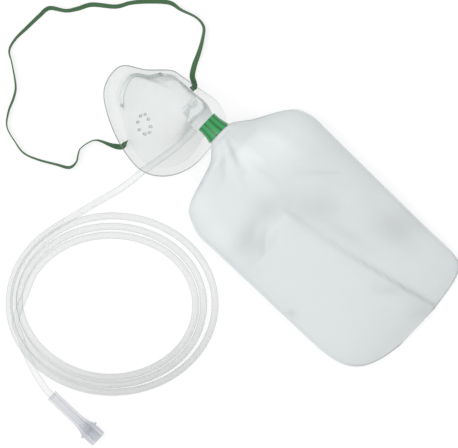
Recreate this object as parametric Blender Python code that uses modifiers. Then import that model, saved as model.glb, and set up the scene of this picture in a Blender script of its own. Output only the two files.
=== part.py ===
"""Oxygen face mask with head strap, one-way valve connector, reservoir bag and oxygen tubing.

The set lies on a flat surface at z = 0, as it is laid out before use: the mask rim down with its
nose towards +Y, the reservoir bag towards -Y, the coil of tubing towards -X. The soft mask leans
towards +X, because the connector and the bag pull on its snout. The origin is on the surface, in
the middle of the box round the mask and the bag.
"""

import math

import bmesh
import bpy
import numpy as np
from mathutils import Matrix, Vector

MM = 0.001
CLEARANCE = 0.3 * MM

# Whole object
OVERALL_LENGTH = 366 * MM

# Mask, in its own plan: u to the wearer's left cheek, v to the nose, w away from the face
MASK_WALL = 1.2 * MM
MASK_TURN = math.radians(-9.85)
MASK_CENTRE_X = -22.3 * MM
RIM_OUTLINE_MM = [
    (0, 60), (-23, 53), (-36, 31), (-43.5, 0), (-42, -29), (-27, -47), (-3, -54.5),
    (24, -50), (46, -42), (52.5, -22), (45.5, 2), (40.5, 18.5), (35.5, 29), (17, 43.5),
]
LIP_HEIGHT = 1.6 * MM
LIP_WIDTH = 1.1 * MM
FOOT_RISE = 2.2 * MM
SNOUT_HEIGHT = 56.5 * MM
SNOUT_CENTRE = (26 * MM, -6 * MM)
# Eight even bearings, from the +u cheek round by the nose
FLANGE_WIDTHS = [6.5 * MM, 4.5 * MM, 10 * MM, 13 * MM, 8.5 * MM, 8 * MM, 8 * MM, 12 * MM]
SNOUT_REACHES = [15 * MM, 17 * MM, 20 * MM, 21 * MM, 24 * MM, 22 * MM, 14 * MM, 18 * MM]
KNEE_SHARES = [0.0, 0.1, 0.3, 0.35, 0.25, 0.7, 1.45, 1.35]
KNEE_HEIGHTS = [26 * MM, 22 * MM, 16 * MM, 15 * MM, 16 * MM, 15 * MM, 13 * MM, 14 * MM]
RIM_POINTS = 60
WALL_RINGS = 11

# Strap slits, each in an ear of the rim that is lifted off the face
EAR_BEARINGS = (math.radians(4), math.radians(181))
EAR_LIFT = 2.4 * MM
EAR_SPREAD = math.radians(22)
SLIT_INSET = 3.0 * MM
SLIT_LENGTH = 6.6 * MM
SLIT_WIDTH = 2.2 * MM

# Exhalation holes
EXHALE_BEARINGS = (math.radians(12), math.radians(168))
EXHALE_SHARE = 0.40
EXHALE_CIRCLE_RADIUS = 9.2 * MM
EXHALE_HOLE_RADIUS = 1.2 * MM
EXHALE_HOLES = 8

# Nose clip
CLIP_WIDTH = 4.2 * MM
CLIP_THICKNESS = 0.9 * MM
CLIP_BEARINGS = (math.radians(48), math.radians(132))
CLIP_SHARE_END = 0.05
CLIP_SHARE_MIDDLE = 0.10
CLIP_GAP = 0.7 * MM
PEG_RADIUS = 0.9 * MM
PEG_HEAD_RADIUS = 1.7 * MM
PEG_HEAD_HEIGHT = 0.8 * MM
PEG_INSET = 3.0 * MM

# Connector, turned about an axis along Y, placed from the mask's centre
AXIS_ASIDE = 27.3 * MM
AXIS_HEIGHT = 36.0 * MM
PORT_BELOW_CENTRE = 26.625 * MM
COLLAR_DEPTH = 13.0 * MM
SPIGOT_RADIUS = 9.7 * MM
SPIGOT_LENGTH = 16.0 * MM
SPIGOT_TAPER = 2.6 * MM
CONNECTOR_WALL = 1.6 * MM
STOP_RADIUS = 11.6 * MM
STOP_THICKNESS = 1.2 * MM
BODY_RADIUS = 10.2 * MM
BODY_LENGTH = 7.4 * MM
TAIL_RADIUS = 8.2 * MM
TAIL_LENGTH = 21.3 * MM
NIPPLE_RADIUS = 2.5 * MM
NIPPLE_BORE_RADIUS = 1.4 * MM
NIPPLE_LENGTH = 13.0 * MM
SEAT_THICKNESS = 1.4 * MM
SEAT_DEPTH = 2.6 * MM
HUB_RADIUS = 2.6 * MM
SPOKE_WIDTH = 1.3 * MM
SPOKES = 4

# Silicone leaflet
LEAFLET_THICKNESS = 0.6 * MM
LEAFLET_STEM_RADIUS = 0.8 * MM
LEAFLET_BARB_RADIUS = 1.5 * MM
LEAFLET_BARB_LENGTH = 1.8 * MM

# Bag and its ring
FILM = 0.4 * MM
RING_WALL = 1.3 * MM
RING_LENGTH = 16.0 * MM
RING_FLARE = 2.2 * MM
BAG_WIDTH = 152 * MM
BAG_FILL = 36 * MM
BAG_SEAM_SHARE = 0.3
BAG_TOP_POINTS = 34
BAG_LOW_POINTS = 12

# Oxygen tubing
TUBE_RADIUS = 3.15 * MM
CUFF_WALL = 1.5 * MM
CUFF_LENGTH = 15.5 * MM
COIL_CENTRE = (-176.5 * MM, 36.2 * MM)
COIL_HALF_LENGTH = 98 * MM
COIL_HALF_WIDTH = 85.1 * MM
COIL_BAND = 24 * MM
COIL_LAYERS = 2
COIL_TURN = math.radians(-46.7)

# End connector, on the tubing's far end, turned about an axis along Y
END_START = (-275.6 * MM, 19.5 * MM)
SLEEVE_RADIUS = 5.4 * MM
SLEEVE_LENGTH = 35 * MM
FLARE_LENGTH = 11 * MM
SOCKET_RADIUS = 7.8 * MM
SOCKET_LENGTH = 13.5 * MM
SOCKET_BORE_RADIUS = 4.2 * MM
WING_REACH = 9.6 * MM
WING_LENGTH = 2.4 * MM
WING_THICKNESS = 3.0 * MM
RIB_HEIGHT = 0.5 * MM
RIBS = 12

# Head strap
STRAP_WIDTH = 5.0 * MM
STRAP_THICKNESS = 0.9 * MM
STRAP_LIFT = 0.25 * MM


def clear_scene():
    """Remove everything that is in the file."""
    for thing in list(bpy.data.objects):
        bpy.data.objects.remove(thing, do_unlink=True)


def collection(name):
    """A new collection, linked to the scene."""
    made = bpy.data.collections.new(name)
    bpy.context.scene.collection.children.link(made)
    return made


def material(name, colour, roughness, metallic=0.0, alpha=1.0):
    """A plain Principled material."""
    made = bpy.data.materials.new(name)
    made.use_nodes = True
    shader = made.node_tree.nodes["Principled BSDF"]
    shader.inputs["Base Color"].default_value = (*colour, 1.0)
    shader.inputs["Roughness"].default_value = roughness
    shader.inputs["Metallic"].default_value = metallic
    shader.inputs["Alpha"].default_value = alpha
    return made


def add_object(name, mesh, group, finish=None):
    """An object for a mesh, in a collection, with its material."""
    made = bpy.data.objects.new(name, mesh)
    group.objects.link(made)
    if finish:
        mesh.materials.append(finish)
    mesh.shade_smooth()
    mesh.set_sharp_from_angle(angle=math.radians(35))
    return made


def cutter(name, mesh):
    """A helper object for a Boolean, which isn't rendered."""
    made = add_object(name, mesh, CUTTERS)
    made.hide_render = True
    made.display_type = "WIRE"
    return made


def combine(target, helper, operation):
    """Add a Boolean modifier of the target with a helper object."""
    modifier = target.modifiers.new(f"{operation} {helper.name}".title(), "BOOLEAN")
    modifier.operation = operation
    modifier.object = helper


def mesh_from(bm, name, closed=True):
    """Finish a bmesh. A closed one gets its normals turned out; an open one keeps its winding."""
    if closed:
        bmesh.ops.recalc_face_normals(bm, faces=bm.faces)
    mesh = bpy.data.meshes.new(name)
    bm.to_mesh(mesh)
    bm.free()
    return mesh


def skin(bm, rings, close_along=False):
    """Quads between rings of equally many points. Returns the rings of vertices."""
    loops = [[bm.verts.new(point) for point in ring] for ring in rings]
    pairs = list(zip(loops, loops[1:]))
    if close_along:
        pairs.append((loops[-1], loops[0]))
    for first, second in pairs:
        for i, vert in enumerate(first):
            j = (i + 1) % len(first)
            bm.faces.new((vert, first[j], second[j], second[i]))
    return loops


def lofted(name, rings, close_along=False):
    """A closed mesh through rings, with flat ends or joined end to end."""
    bm = bmesh.new()
    loops = skin(bm, rings, close_along)
    if not close_along:
        bm.faces.new(loops[0])
        bm.faces.new(loops[-1])
    return mesh_from(bm, name)


def turned(name, profile, place, sides=36):
    """A mesh turned about its own Z axis from (radius, height) points, then put in place.

    A profile whose first and last points are on the axis makes a solid. Any other is closed
    into a ring.
    """
    bm = bmesh.new()
    verts = [bm.verts.new((radius, 0, height)) for radius, height in profile]
    edges = [bm.edges.new(pair) for pair in zip(verts, verts[1:])]
    if profile[0][0] > 0:
        edges.append(bm.edges.new((verts[-1], verts[0])))
    bmesh.ops.spin(
        bm, geom=verts + edges, cent=(0, 0, 0), axis=(0, 0, 1), angle=2 * math.pi,
        steps=sides, use_merge=True,
    )
    bmesh.ops.remove_doubles(bm, verts=bm.verts, dist=1e-6)
    bmesh.ops.transform(bm, matrix=place, verts=bm.verts)
    return mesh_from(bm, name)


def along_y(x=0.0, z=0.0):
    """A placement whose own Z axis runs along the object's +Y."""
    return Matrix.Translation((x, 0, z)) @ Matrix.Rotation(-math.pi / 2, 4, "X")


def along(point, direction):
    """A placement at a point, with its own Z axis along a direction."""
    return Matrix.Translation(point) @ Vector(direction).to_track_quat("Z", "Y").to_matrix().to_4x4()


def rod(name, start, direction, radius, length, sides=24):
    """A plain cylinder from a point along a direction."""
    bm = bmesh.new()
    place = along(Vector(start) + Vector(direction).normalized() * length / 2, direction)
    bmesh.ops.create_cone(
        bm, cap_ends=True, segments=sides, radius1=radius, radius2=radius, depth=length, matrix=place
    )
    return mesh_from(bm, name)


def block(name, place, size):
    """A box of the given size, centred on a placement."""
    bm = bmesh.new()
    bmesh.ops.create_cube(bm, size=1, matrix=place @ Matrix.Diagonal((*size, 1)))
    return mesh_from(bm, name)


def joined(name, meshes):
    """Several separate closed meshes as one."""
    bm = bmesh.new()
    for mesh in meshes:
        bm.from_mesh(mesh)
    return mesh_from(bm, name)


def spline(p0, p1, p2, p3, share):
    """A smooth curve's value between p1 and p2, on plain numbers or arrays."""
    return 0.5 * (
        2 * p1 + (p2 - p0) * share + (2 * p0 - 5 * p1 + 4 * p2 - p3) * share**2
        + (3 * p1 - p0 - 3 * p2 + p3) * share**3
    )


def smooth_line(points, steps, closed=False):
    """Points of a smooth curve through the given ones, with so many steps to each gap."""
    given = np.array(points, float)
    if closed:
        given = np.vstack([given[-1], given, given[:2]])
    else:
        given = np.vstack([2 * given[0] - given[1], given, 2 * given[-1] - given[-2]])
    line = [
        spline(*given[i : i + 4], step / steps)
        for i in range(len(given) - 3)
        for step in range(steps)
    ]
    return np.array(line if closed else [*line, given[-2]])


def even_line(line, count):
    """The same line with evenly spaced points."""
    run = np.concatenate([[0], np.cumsum(np.linalg.norm(np.diff(line, axis=0), axis=1))])
    at = np.linspace(0, run[-1], count)
    return np.stack([np.interp(at, run, column) for column in line.T], axis=1)


def compass(bearing, values):
    """A smooth value at a bearing, from values set at even bearings."""
    at = bearing / (2 * math.pi) * len(values)
    first = math.floor(at)
    near = [values[(first + k) % len(values)] for k in (-1, 0, 1, 2)]
    return spline(*near, at - first)


def rim_radius_table():
    """Bearings and radii of the rim's outline, for interpolation."""
    line = smooth_line(np.array(RIM_OUTLINE_MM) * MM, 20, closed=True)
    bearings = np.mod(np.arctan2(line[:, 1], line[:, 0]), 2 * math.pi)
    order = np.argsort(bearings)
    return bearings[order], np.linalg.norm(line, axis=1)[order]


RIM_BEARINGS, RIM_RADII = rim_radius_table()


def rim_radius(bearing):
    """The rim's distance from the mask's centre."""
    return float(np.interp(bearing % (2 * math.pi), RIM_BEARINGS, RIM_RADII, period=2 * math.pi))


def mask_centre_y():
    """The mask's centre, placed so that the nose end is at the end of the overall length."""
    highest = max(
        rim_radius(math.radians(a)) * math.sin(math.radians(a) + MASK_TURN) for a in range(360)
    )
    return OVERALL_LENGTH / 2 - highest


MASK_CENTRE_Y = mask_centre_y()
MASK_PLACE = Matrix.Translation((MASK_CENTRE_X, MASK_CENTRE_Y, 0)) @ Matrix.Rotation(
    MASK_TURN, 4, "Z"
)
AXIS_X = MASK_CENTRE_X + AXIS_ASIDE
PORT_FACE_Y = MASK_CENTRE_Y - PORT_BELOW_CENTRE


def in_mask(bearing, radius, height):
    """A point of the mask's plan, in the object's frame."""
    plan = Vector((radius * math.cos(bearing), radius * math.sin(bearing), height))
    return MASK_PLACE @ plan


def ear_lift(bearing):
    """How far the rim is lifted at a bearing, for the ears that carry the strap."""
    lift = 0.0
    for ear in EAR_BEARINGS:
        off = abs(math.remainder(bearing - ear, 2 * math.pi))
        if off < EAR_SPREAD:
            lift += EAR_LIFT * math.cos(off / EAR_SPREAD * math.pi / 2) ** 2
    return lift


def foot_radius(bearing):
    """Where the flange ends and the wall begins, as a distance from the mask's centre."""
    return rim_radius(bearing) - compass(bearing, FLANGE_WIDTHS)


def wall_point(bearing, share):
    """The outer face of the wall: share 0 is its foot and share 1 the top of the snout.

    Each meridian is a cubic curve from the foot, by a knee, to the level top of the snout.
    """
    out = Vector((math.cos(bearing), math.sin(bearing), 0))
    centre = Vector((*SNOUT_CENTRE, SNOUT_HEIGHT))
    foot = out * foot_radius(bearing) + Vector((0, 0, MASK_WALL + FOOT_RISE))
    crown = centre + out * compass(bearing, SNOUT_REACHES)
    knee = foot.lerp(crown, compass(bearing, KNEE_SHARES))
    knee.z = compass(bearing, KNEE_HEIGHTS)
    rest = 1 - share
    plan = (
        foot * rest**3 + knee * 3 * rest**2 * share + crown * 3 * rest * share**2 + centre * share**3
    )
    return MASK_PLACE @ plan


def wall_frame(bearing, share):
    """A point of the wall, its outward normal, and the level direction along the wall."""
    step = 0.01
    point = wall_point(bearing, share)
    level = (wall_point(bearing + step, share) - wall_point(bearing - step, share)).normalized()
    rise = (wall_point(bearing, share + step) - wall_point(bearing, max(share - step, 0))).normalized()
    normal = level.cross(rise).normalized()
    return point, normal, level


def mask_rings():
    """The outer face of the mask as rings, from the lip at the rim to the top of the snout."""
    bearings = [2 * math.pi * i / RIM_POINTS for i in range(RIM_POINTS)]
    flange_rows = [
        (0.0, 0.0, LIP_HEIGHT),
        (0.0, LIP_WIDTH * 0.45, LIP_HEIGHT * 0.45),
        (0.0, LIP_WIDTH * 1.5, 0.05 * LIP_HEIGHT),
        (0.5, 0.0, 0.12 * FOOT_RISE),
    ]
    rings = []
    for share, inset, rise in flange_rows:
        ring = []
        for bearing in bearings:
            # The lip's own thickness lies outside this face
            edge = rim_radius(bearing) - MASK_WALL * 0.9 * (1 - share)
            radius = edge - inset - share * compass(bearing, FLANGE_WIDTHS)
            lift = ear_lift(bearing) * (1 - share)
            ring.append(in_mask(bearing, radius, MASK_WALL + rise + lift))
        rings.append(ring)
    for row in range(WALL_RINGS):
        share = (row / WALL_RINGS) ** 1.1
        rings.append([wall_point(bearing, share) for bearing in bearings])
    return rings


def mask_skin():
    """The mask's shell with its wall thickness, set down on its lowest point."""
    bm = bmesh.new()
    loops = skin(bm, mask_rings())
    top = bm.verts.new(wall_point(0, 1))
    for i, vert in enumerate(loops[-1]):
        bm.faces.new((vert, loops[-1][(i + 1) % len(loops[-1])], top))
    helper = cutter("mask_skin", mesh_from(bm, "mask_skin", closed=False))
    wall = helper.modifiers.new("Wall", "SOLIDIFY")
    wall.thickness = MASK_WALL
    wall.offset = -1
    graph = bpy.context.evaluated_depsgraph_get()
    mesh = bpy.data.meshes.new_from_object(helper.evaluated_get(graph))
    bpy.data.objects.remove(helper, do_unlink=True)
    lowest = min(vert.co.z for vert in mesh.vertices)
    mesh.transform(Matrix.Translation((0, 0, -lowest)))
    return mesh


def slit_place(ear):
    """The middle of a strap slit, with its own X axis pointing out of the mask."""
    radius = rim_radius(ear) - SLIT_INSET
    height = MASK_WALL / 2 + ear_lift(ear)
    return Matrix.Translation(in_mask(ear, radius, height)) @ Matrix.Rotation(ear + MASK_TURN, 4, "Z")


def exhale_cutters():
    """Rods through the wall, in a circle on each cheek."""
    rods = []
    reach = 6 * MASK_WALL
    for bearing in EXHALE_BEARINGS:
        point, normal, level = wall_frame(bearing, EXHALE_SHARE)
        up = normal.cross(level)
        for k in range(EXHALE_HOLES):
            angle = 2 * math.pi * (k + 0.5) / EXHALE_HOLES
            spoke = level * math.cos(angle) + up * math.sin(angle)
            centre = point + spoke * EXHALE_CIRCLE_RADIUS
            start = centre - normal * reach
            rods.append(rod(f"hole_{k}", start, normal, EXHALE_HOLE_RADIUS, 2 * reach, sides=12))
    return rods


def clip_line():
    """Points, normals and directions along the nose clip, from one cheek to the other.

    It bends on the same bearings as the shell's faces, so that it lies evenly on them.
    """
    step = 2 * math.pi / RIM_POINTS
    first, last = (round(bearing / step) for bearing in CLIP_BEARINGS)
    places = []
    for i in range(first, last + 1):
        across = (i - first) / (last - first)
        share = CLIP_SHARE_END + (CLIP_SHARE_MIDDLE - CLIP_SHARE_END) * math.sin(math.pi * across)
        places.append(wall_frame(i * step, share)[:2])
    frames = []
    for i, (point, normal) in enumerate(places):
        before, after = places[max(i - 1, 0)][0], places[min(i + 1, len(places) - 1)][0]
        frames.append((point, normal, (after - before).normalized()))
    return frames


def clip_pegs():
    """The place and direction of each peg, on the shell under an end of the clip."""
    frames = clip_line()
    pegs = []
    for (point, normal, run), sign in ((frames[0], 1), (frames[-1], -1)):
        pegs.append((point + run * sign * PEG_INSET, normal))
    return pegs


def peg_mesh(name, point, normal):
    """A peg that stands on the shell, with a head that keeps the clip on."""
    shank = CLIP_GAP + CLIP_THICKNESS + CLEARANCE * 1.5
    profile = [
        (0, shank + PEG_HEAD_HEIGHT),
        (PEG_HEAD_RADIUS * 0.7, shank + PEG_HEAD_HEIGHT),
        (PEG_HEAD_RADIUS, shank + PEG_HEAD_HEIGHT / 2),
        (PEG_HEAD_RADIUS, shank),
        (PEG_RADIUS, shank),
        (PEG_RADIUS, -MASK_WALL * 0.8),
        (0, -MASK_WALL * 0.8),
    ]
    return turned(name, profile, along(point, normal), sides=14)


def spigot_radius(depth):
    """The spigot's radius so far inside the port's face."""
    return SPIGOT_RADIUS - SPIGOT_TAPER * depth / SPIGOT_LENGTH


def port_cone(name, first, last, wall):
    """A cone round the spigot between two depths inside the port's face."""
    length = last - first
    bm = bmesh.new()
    middle = Vector((AXIS_X, PORT_FACE_Y + (first + last) / 2, AXIS_HEIGHT))
    bmesh.ops.create_cone(
        bm, cap_ends=True, segments=36, radius1=spigot_radius(first) + CLEARANCE + wall,
        radius2=spigot_radius(last) + CLEARANCE + wall, depth=length, matrix=along(middle, (0, 1, 0)),
    )
    return mesh_from(bm, name)


def port_collar():
    """The short sleeve that the connector pushes into, standing on the snout's lower side."""
    return port_cone("port_collar", 0.0, COLLAR_DEPTH, MASK_WALL)


def port_bore():
    """The way through the collar and the wall into the mask."""
    return port_cone("port_bore", -STOP_THICKNESS, SPIGOT_LENGTH + STOP_THICKNESS, 0.0)


def make_mask():
    """The soft shell with its port, pegs, strap slits and exhalation holes."""
    shell = add_object("mask_shell", mask_skin(), PARTS, CLEAR_VINYL)
    combine(shell, cutter("port_collar", port_collar()), "UNION")
    for k, (point, normal) in enumerate(clip_pegs()):
        combine(shell, cutter(f"clip_peg_{k}", peg_mesh(f"clip_peg_{k}", point, normal)), "UNION")
    slits = [
        block(f"slit_{k}", slit_place(ear), (SLIT_WIDTH, SLIT_LENGTH, 6 * MASK_WALL))
        for k, ear in enumerate(EAR_BEARINGS)
    ]
    combine(shell, cutter("strap_slits", joined("strap_slits", slits)), "DIFFERENCE")
    combine(shell, cutter("exhale_holes", joined("exhale_holes", exhale_cutters())), "DIFFERENCE")
    combine(shell, cutter("port_bore", port_bore()), "DIFFERENCE")


def make_nose_clip():
    """The bent aluminium strip, with a hole at each end for its peg."""
    rings = []
    for point, normal, run in clip_line():
        side = normal.cross(run).normalized() * CLIP_WIDTH / 2
        low = point + normal * CLIP_GAP
        high = low + normal * CLIP_THICKNESS
        rings.append([low - side, low + side, high + side, high - side])
    clip = add_object("nose_clip", lofted("nose_clip", rings), PARTS, DULL_ALUMINIUM)
    holes = []
    for k, (point, normal) in enumerate(clip_pegs()):
        start = point - normal * CLIP_THICKNESS
        holes.append(
            rod(f"peg_hole_{k}", start, normal, PEG_RADIUS + CLEARANCE, 6 * CLIP_THICKNESS, sides=14)
        )
    combine(clip, cutter("peg_holes", joined("peg_holes", holes)), "DIFFERENCE")


def spigot_end_y():
    """The mask end of the connector."""
    return PORT_FACE_Y + SPIGOT_LENGTH


def seat_y():
    """The face of the spider that the leaflet lies on."""
    return spigot_end_y() - SEAT_DEPTH + SEAT_THICKNESS


def body_end_y():
    """Where the connector's body steps down to the tail that the bag's neck covers."""
    return PORT_FACE_Y - CLEARANCE - STOP_THICKNESS - (BODY_LENGTH - STOP_THICKNESS)


def nipple_y():
    """The middle of the connector's body, where the nipple stands."""
    return body_end_y() + (BODY_LENGTH - STOP_THICKNESS) / 2


def make_connector():
    """The clear body: spigot and valve seat, stop flange, nipple, and the tail for the bag."""
    end, stop = spigot_end_y(), PORT_FACE_Y - CLEARANCE
    tip = spigot_radius(SPIGOT_LENGTH)
    step, tail_end = body_end_y(), body_end_y() - TAIL_LENGTH
    bore, tail_bore = tip - CONNECTOR_WALL, TAIL_RADIUS - CONNECTOR_WALL
    profile = [
        (tip - CONNECTOR_WALL * 0.5, end),
        (spigot_radius(SPIGOT_LENGTH - CONNECTOR_WALL * 0.5), end - CONNECTOR_WALL * 0.5),
        (SPIGOT_RADIUS, stop + CLEARANCE),
        (SPIGOT_RADIUS, stop),
        (STOP_RADIUS, stop),
        (STOP_RADIUS, stop - STOP_THICKNESS),
        (BODY_RADIUS, stop - STOP_THICKNESS),
        (BODY_RADIUS, step + CONNECTOR_WALL * 0.3),
        (BODY_RADIUS - CONNECTOR_WALL * 0.3, step),
        (TAIL_RADIUS, step),
        (TAIL_RADIUS, tail_end + CONNECTOR_WALL * 0.5),
        (TAIL_RADIUS - CONNECTOR_WALL * 0.4, tail_end),
        (tail_bore, tail_end),
        (tail_bore, step - CONNECTOR_WALL),
        (bore, step + CONNECTOR_WALL),
        (bore, end),
    ]
    body = add_object(
        "valve_connector",
        turned("valve_connector", profile, along_y(AXIS_X, AXIS_HEIGHT)), PARTS, CLEAR_RIGID,
    )
    seat_middle = seat_y() - SEAT_THICKNESS / 2
    for k in range(SPOKES // 2):
        place = Matrix.Translation((AXIS_X, seat_middle, AXIS_HEIGHT)) @ Matrix.Rotation(
            math.pi * k / (SPOKES // 2) + math.pi / 4, 4, "Y"
        )
        bar = block(f"spoke_{k}", place, (2 * bore + CONNECTOR_WALL, SEAT_THICKNESS * 0.98**k, SPOKE_WIDTH))
        combine(body, cutter(f"spoke_{k}", bar), "UNION")
    start = (AXIS_X, seat_y() - SEAT_THICKNESS * 1.01, AXIS_HEIGHT)
    hub = rod("seat_hub", start, (0, 1, 0), HUB_RADIUS, SEAT_THICKNESS * 1.02)
    combine(body, cutter("seat_hub", hub), "UNION")
    hole = rod(
        "stem_hole", (AXIS_X, seat_y() - 2 * SEAT_THICKNESS, AXIS_HEIGHT), (0, 1, 0),
        LEAFLET_STEM_RADIUS + CLEARANCE, 4 * SEAT_THICKNESS, sides=16,
    )
    combine(body, cutter("stem_hole", hole), "DIFFERENCE")
    root = (AXIS_X - BODY_RADIUS + CONNECTOR_WALL * 0.6, nipple_y(), AXIS_HEIGHT)
    reach = NIPPLE_LENGTH + CONNECTOR_WALL * 0.6
    nipple_profile = [
        (0, reach),
        (NIPPLE_RADIUS * 0.75, reach),
        (NIPPLE_RADIUS, reach - NIPPLE_RADIUS),
        (NIPPLE_RADIUS * 0.9, reach - NIPPLE_RADIUS * 1.2),
        (NIPPLE_RADIUS * 0.9, NIPPLE_RADIUS),
        (NIPPLE_RADIUS * 1.15, 0),
        (0, 0),
    ]
    nipple = turned("nipple", nipple_profile, along(root, (-1, 0, 0)), sides=20)
    combine(body, cutter("nipple", nipple), "UNION")
    way = rod(
        "nipple_bore", (AXIS_X - bore * 0.5, nipple_y(), AXIS_HEIGHT), (-1, 0, 0),
        NIPPLE_BORE_RADIUS, 2 * NIPPLE_LENGTH + bore, sides=16,
    )
    combine(body, cutter("nipple_bore", way), "DIFFERENCE")


def make_leaflet():
    """The silicone leaflet, with the stem that holds it in the hub."""
    bore = spigot_radius(SPIGOT_LENGTH) - CONNECTOR_WALL
    low = seat_y() + CLEARANCE
    high = low + LEAFLET_THICKNESS
    back = seat_y() - SEAT_THICKNESS - CLEARANCE
    profile = [
        (0, high + LEAFLET_THICKNESS),
        (LEAFLET_BARB_RADIUS, high + LEAFLET_THICKNESS * 0.7),
        (LEAFLET_BARB_RADIUS * 1.3, high),
        (bore - CLEARANCE, high),
        (bore - CLEARANCE, low),
        (LEAFLET_STEM_RADIUS, low),
        (LEAFLET_STEM_RADIUS, back),
        (LEAFLET_BARB_RADIUS, back),
        (LEAFLET_STEM_RADIUS * 0.5, back - LEAFLET_BARB_LENGTH),
        (0, back - LEAFLET_BARB_LENGTH),
    ]
    mesh = turned("valve_disc", profile, along_y(AXIS_X, AXIS_HEIGHT), sides=32)
    add_object("valve_disc", mesh, PARTS, SILICONE)


def neck_radius():
    """The outside of the film where it is stretched over the connector's tail."""
    return TAIL_RADIUS + CLEARANCE + FILM


def ring_start_y():
    """The mask side of the ring, just past the step of the connector's body."""
    return body_end_y() - 2 * CLEARANCE


def make_ring():
    """The green ring: slightly waisted, and flared towards the bag."""
    start = ring_start_y()
    inner = neck_radius() + CLEARANCE
    outer = inner + RING_WALL
    steps = 5
    outside, inside = [], []
    for k in range(steps + 1):
        share = k / steps
        flare = RING_FLARE * share**2.6
        y = start - RING_LENGTH * share
        outside.append((outer + flare, y))
        inside.append((inner + flare, y))
    rounding = RING_WALL * 0.35
    outside[0] = (outer - rounding, start)
    outside.insert(1, (outer, start - rounding))
    outside[-1] = (outside[-1][0] - rounding / 2, outside[-1][1])
    profile = outside + inside[::-1]
    add_object("bag_ring", turned("bag_ring", profile, along_y(AXIS_X, AXIS_HEIGHT)), PARTS, RING_GREEN)


def bag_rows():
    """Sections along the bag: y, middle x, half width, underside, top and roundness.

    The first rows are the round neck between connector and ring. The rest follow the welded
    outline down to the bag's far end.
    """
    neck, start, end = neck_radius(), ring_start_y(), ring_start_y() - RING_LENGTH
    low, high = AXIS_HEIGHT - neck, AXIS_HEIGHT + neck
    flared = neck + RING_FLARE
    rows = [
        (start - CLEARANCE, AXIS_X, neck, low, high, 1.0),
        (start - RING_LENGTH * 0.5, AXIS_X, neck, low, high, 1.0),
        (end + RING_LENGTH * 0.12, AXIS_X, flared - RING_FLARE * 0.32, low - RING_FLARE * 0.6,
         high + RING_FLARE * 0.6, 1.0),
        (end - CLEARANCE, AXIS_X, flared, AXIS_HEIGHT - flared, AXIS_HEIGHT + flared, 1.0),
    ]
    half, fill, far = BAG_WIDTH / 2, BAG_FILL, -OVERALL_LENGTH / 2
    body = [
        # share of the way from ring to far end, middle in mm, share of half width,
        # underside and top as shares of the fill
        (0.008, 6.5, 0.19, 0.62, 1.30), (0.026, 7.5, 0.26, 0.46, 1.29), (0.050, 7.0, 0.37, 0.28, 1.18),
        (0.071, 2.5, 0.55, 0.12, 1.07), (0.090, -1.5, 0.72, 0.03, 0.97), (0.112, -2.0, 0.84, 0.0, 0.93),
        (0.145, 0.0, 0.935, 0.0, 0.92), (0.20, 0.0, 1.0, 0.0, 0.95), (0.27, 0.0, 1.0, 0.0, 1.0),
        (0.34, -0.2, 0.996, 0.0, 1.0), (0.42, -0.4, 0.993, 0.0, 1.0), (0.50, -0.6, 0.990, 0.0, 0.98),
        (0.58, -0.8, 0.988, 0.0, 0.95), (0.66, -1.0, 0.985, 0.0, 0.90), (0.74, -1.2, 0.982, 0.0, 0.82),
        (0.81, -1.0, 0.978, 0.0, 0.72), (0.87, 0.2, 0.965, 0.0, 0.60), (0.914, 2.2, 0.93, 0.0, 0.47),
        (0.947, 4.5, 0.87, 0.0, 0.34), (0.970, 6.0, 0.77, 0.0, 0.22), (0.987, 5.0, 0.60, 0.01, 0.13),
        (1.0, 0.0, 0.32, 0.02, 0.07),
    ]
    for share, middle, width, under, over in body:
        y = end + (far - end) * share
        round_off = 1.0 + 0.35 * min(share / 0.15, 1.0)
        rows.append((y, middle * MM, half * width, fill * under, fill * over, round_off))
    # The folded stretch has a section halfway between each two
    first, last = 8, 21
    folded = [tuple(row) for row in smooth_line(rows[first : last + 1], 2)]
    return [*rows[:first], *folded, *rows[last + 1 :]]


# Folds of the film: start, end, height and half width, in mm. A crease has a height below zero.
BAG_FOLDS_MM = [
    ((-4, -24), (27, -181), -3.0, 5), ((-14, -38), (8, -181), 2.2, 11),
    ((14, -40), (42, -170), 2.0, 9), ((5, -131), (22, -168), -1.4, 6),
    ((-58, -21), (-30, -12), -2.6, 8), ((-60, -37), (-33, -24), 1.7, 6),
    ((-33, -24), (-6, -27), 1.9, 6), ((4, -20), (33, -51), -2.4, 9),
    ((62, -80), (57, -130), -1.8, 11), ((-3, -25), (6, 22), 1.8, 10),
    ((6, 60), (-5, 28), -2.2, 4), ((-3, 57), (-20, 40), -1.8, 4), ((13, 58), (34, 30), -1.6, 5),
]


def fold_height(x, y):
    """How far the folds lift or lower the bag's top at a place."""
    total = 0.0
    for start, end, height, half_width in BAG_FOLDS_MM:
        first, last = np.array(start) * MM, np.array(end) * MM
        run = last - first
        along_run = float(np.dot(np.array([x, y]) - first, run) / np.dot(run, run))
        held = min(max(along_run, 0.0), 1.0)
        off = float(np.linalg.norm(np.array([x, y]) - first - run * held)) / (half_width * MM)
        total += height * MM * math.exp(-off * off)
    return total


def bag_ring(row):
    """One section of the bag: flat below where it lies on the surface, crowned above."""
    y, middle, half, under, over, round_off = row
    seam = under + (over - under) * (0.5 if round_off == 1.0 else BAG_SEAM_SHARE)
    flatness = 1.0 if round_off == 1.0 else 0.45
    ring = []
    angles = [math.pi * k / BAG_TOP_POINTS for k in range(BAG_TOP_POINTS)]
    angles += [math.pi * (1 + k / BAG_LOW_POINTS) for k in range(BAG_LOW_POINTS)]
    for angle in angles:
        x = middle + half * math.cos(angle)
        rise = abs(math.sin(angle))
        if angle < math.pi:
            z = seam + (over - seam) * rise**round_off
            if round_off > 1.0:
                z = max(z + fold_height(x, y) * rise, seam)
        else:
            z = seam - (seam - under) * rise**flatness
        ring.append((x, y, max(z, 0.0)))
    return ring


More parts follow.
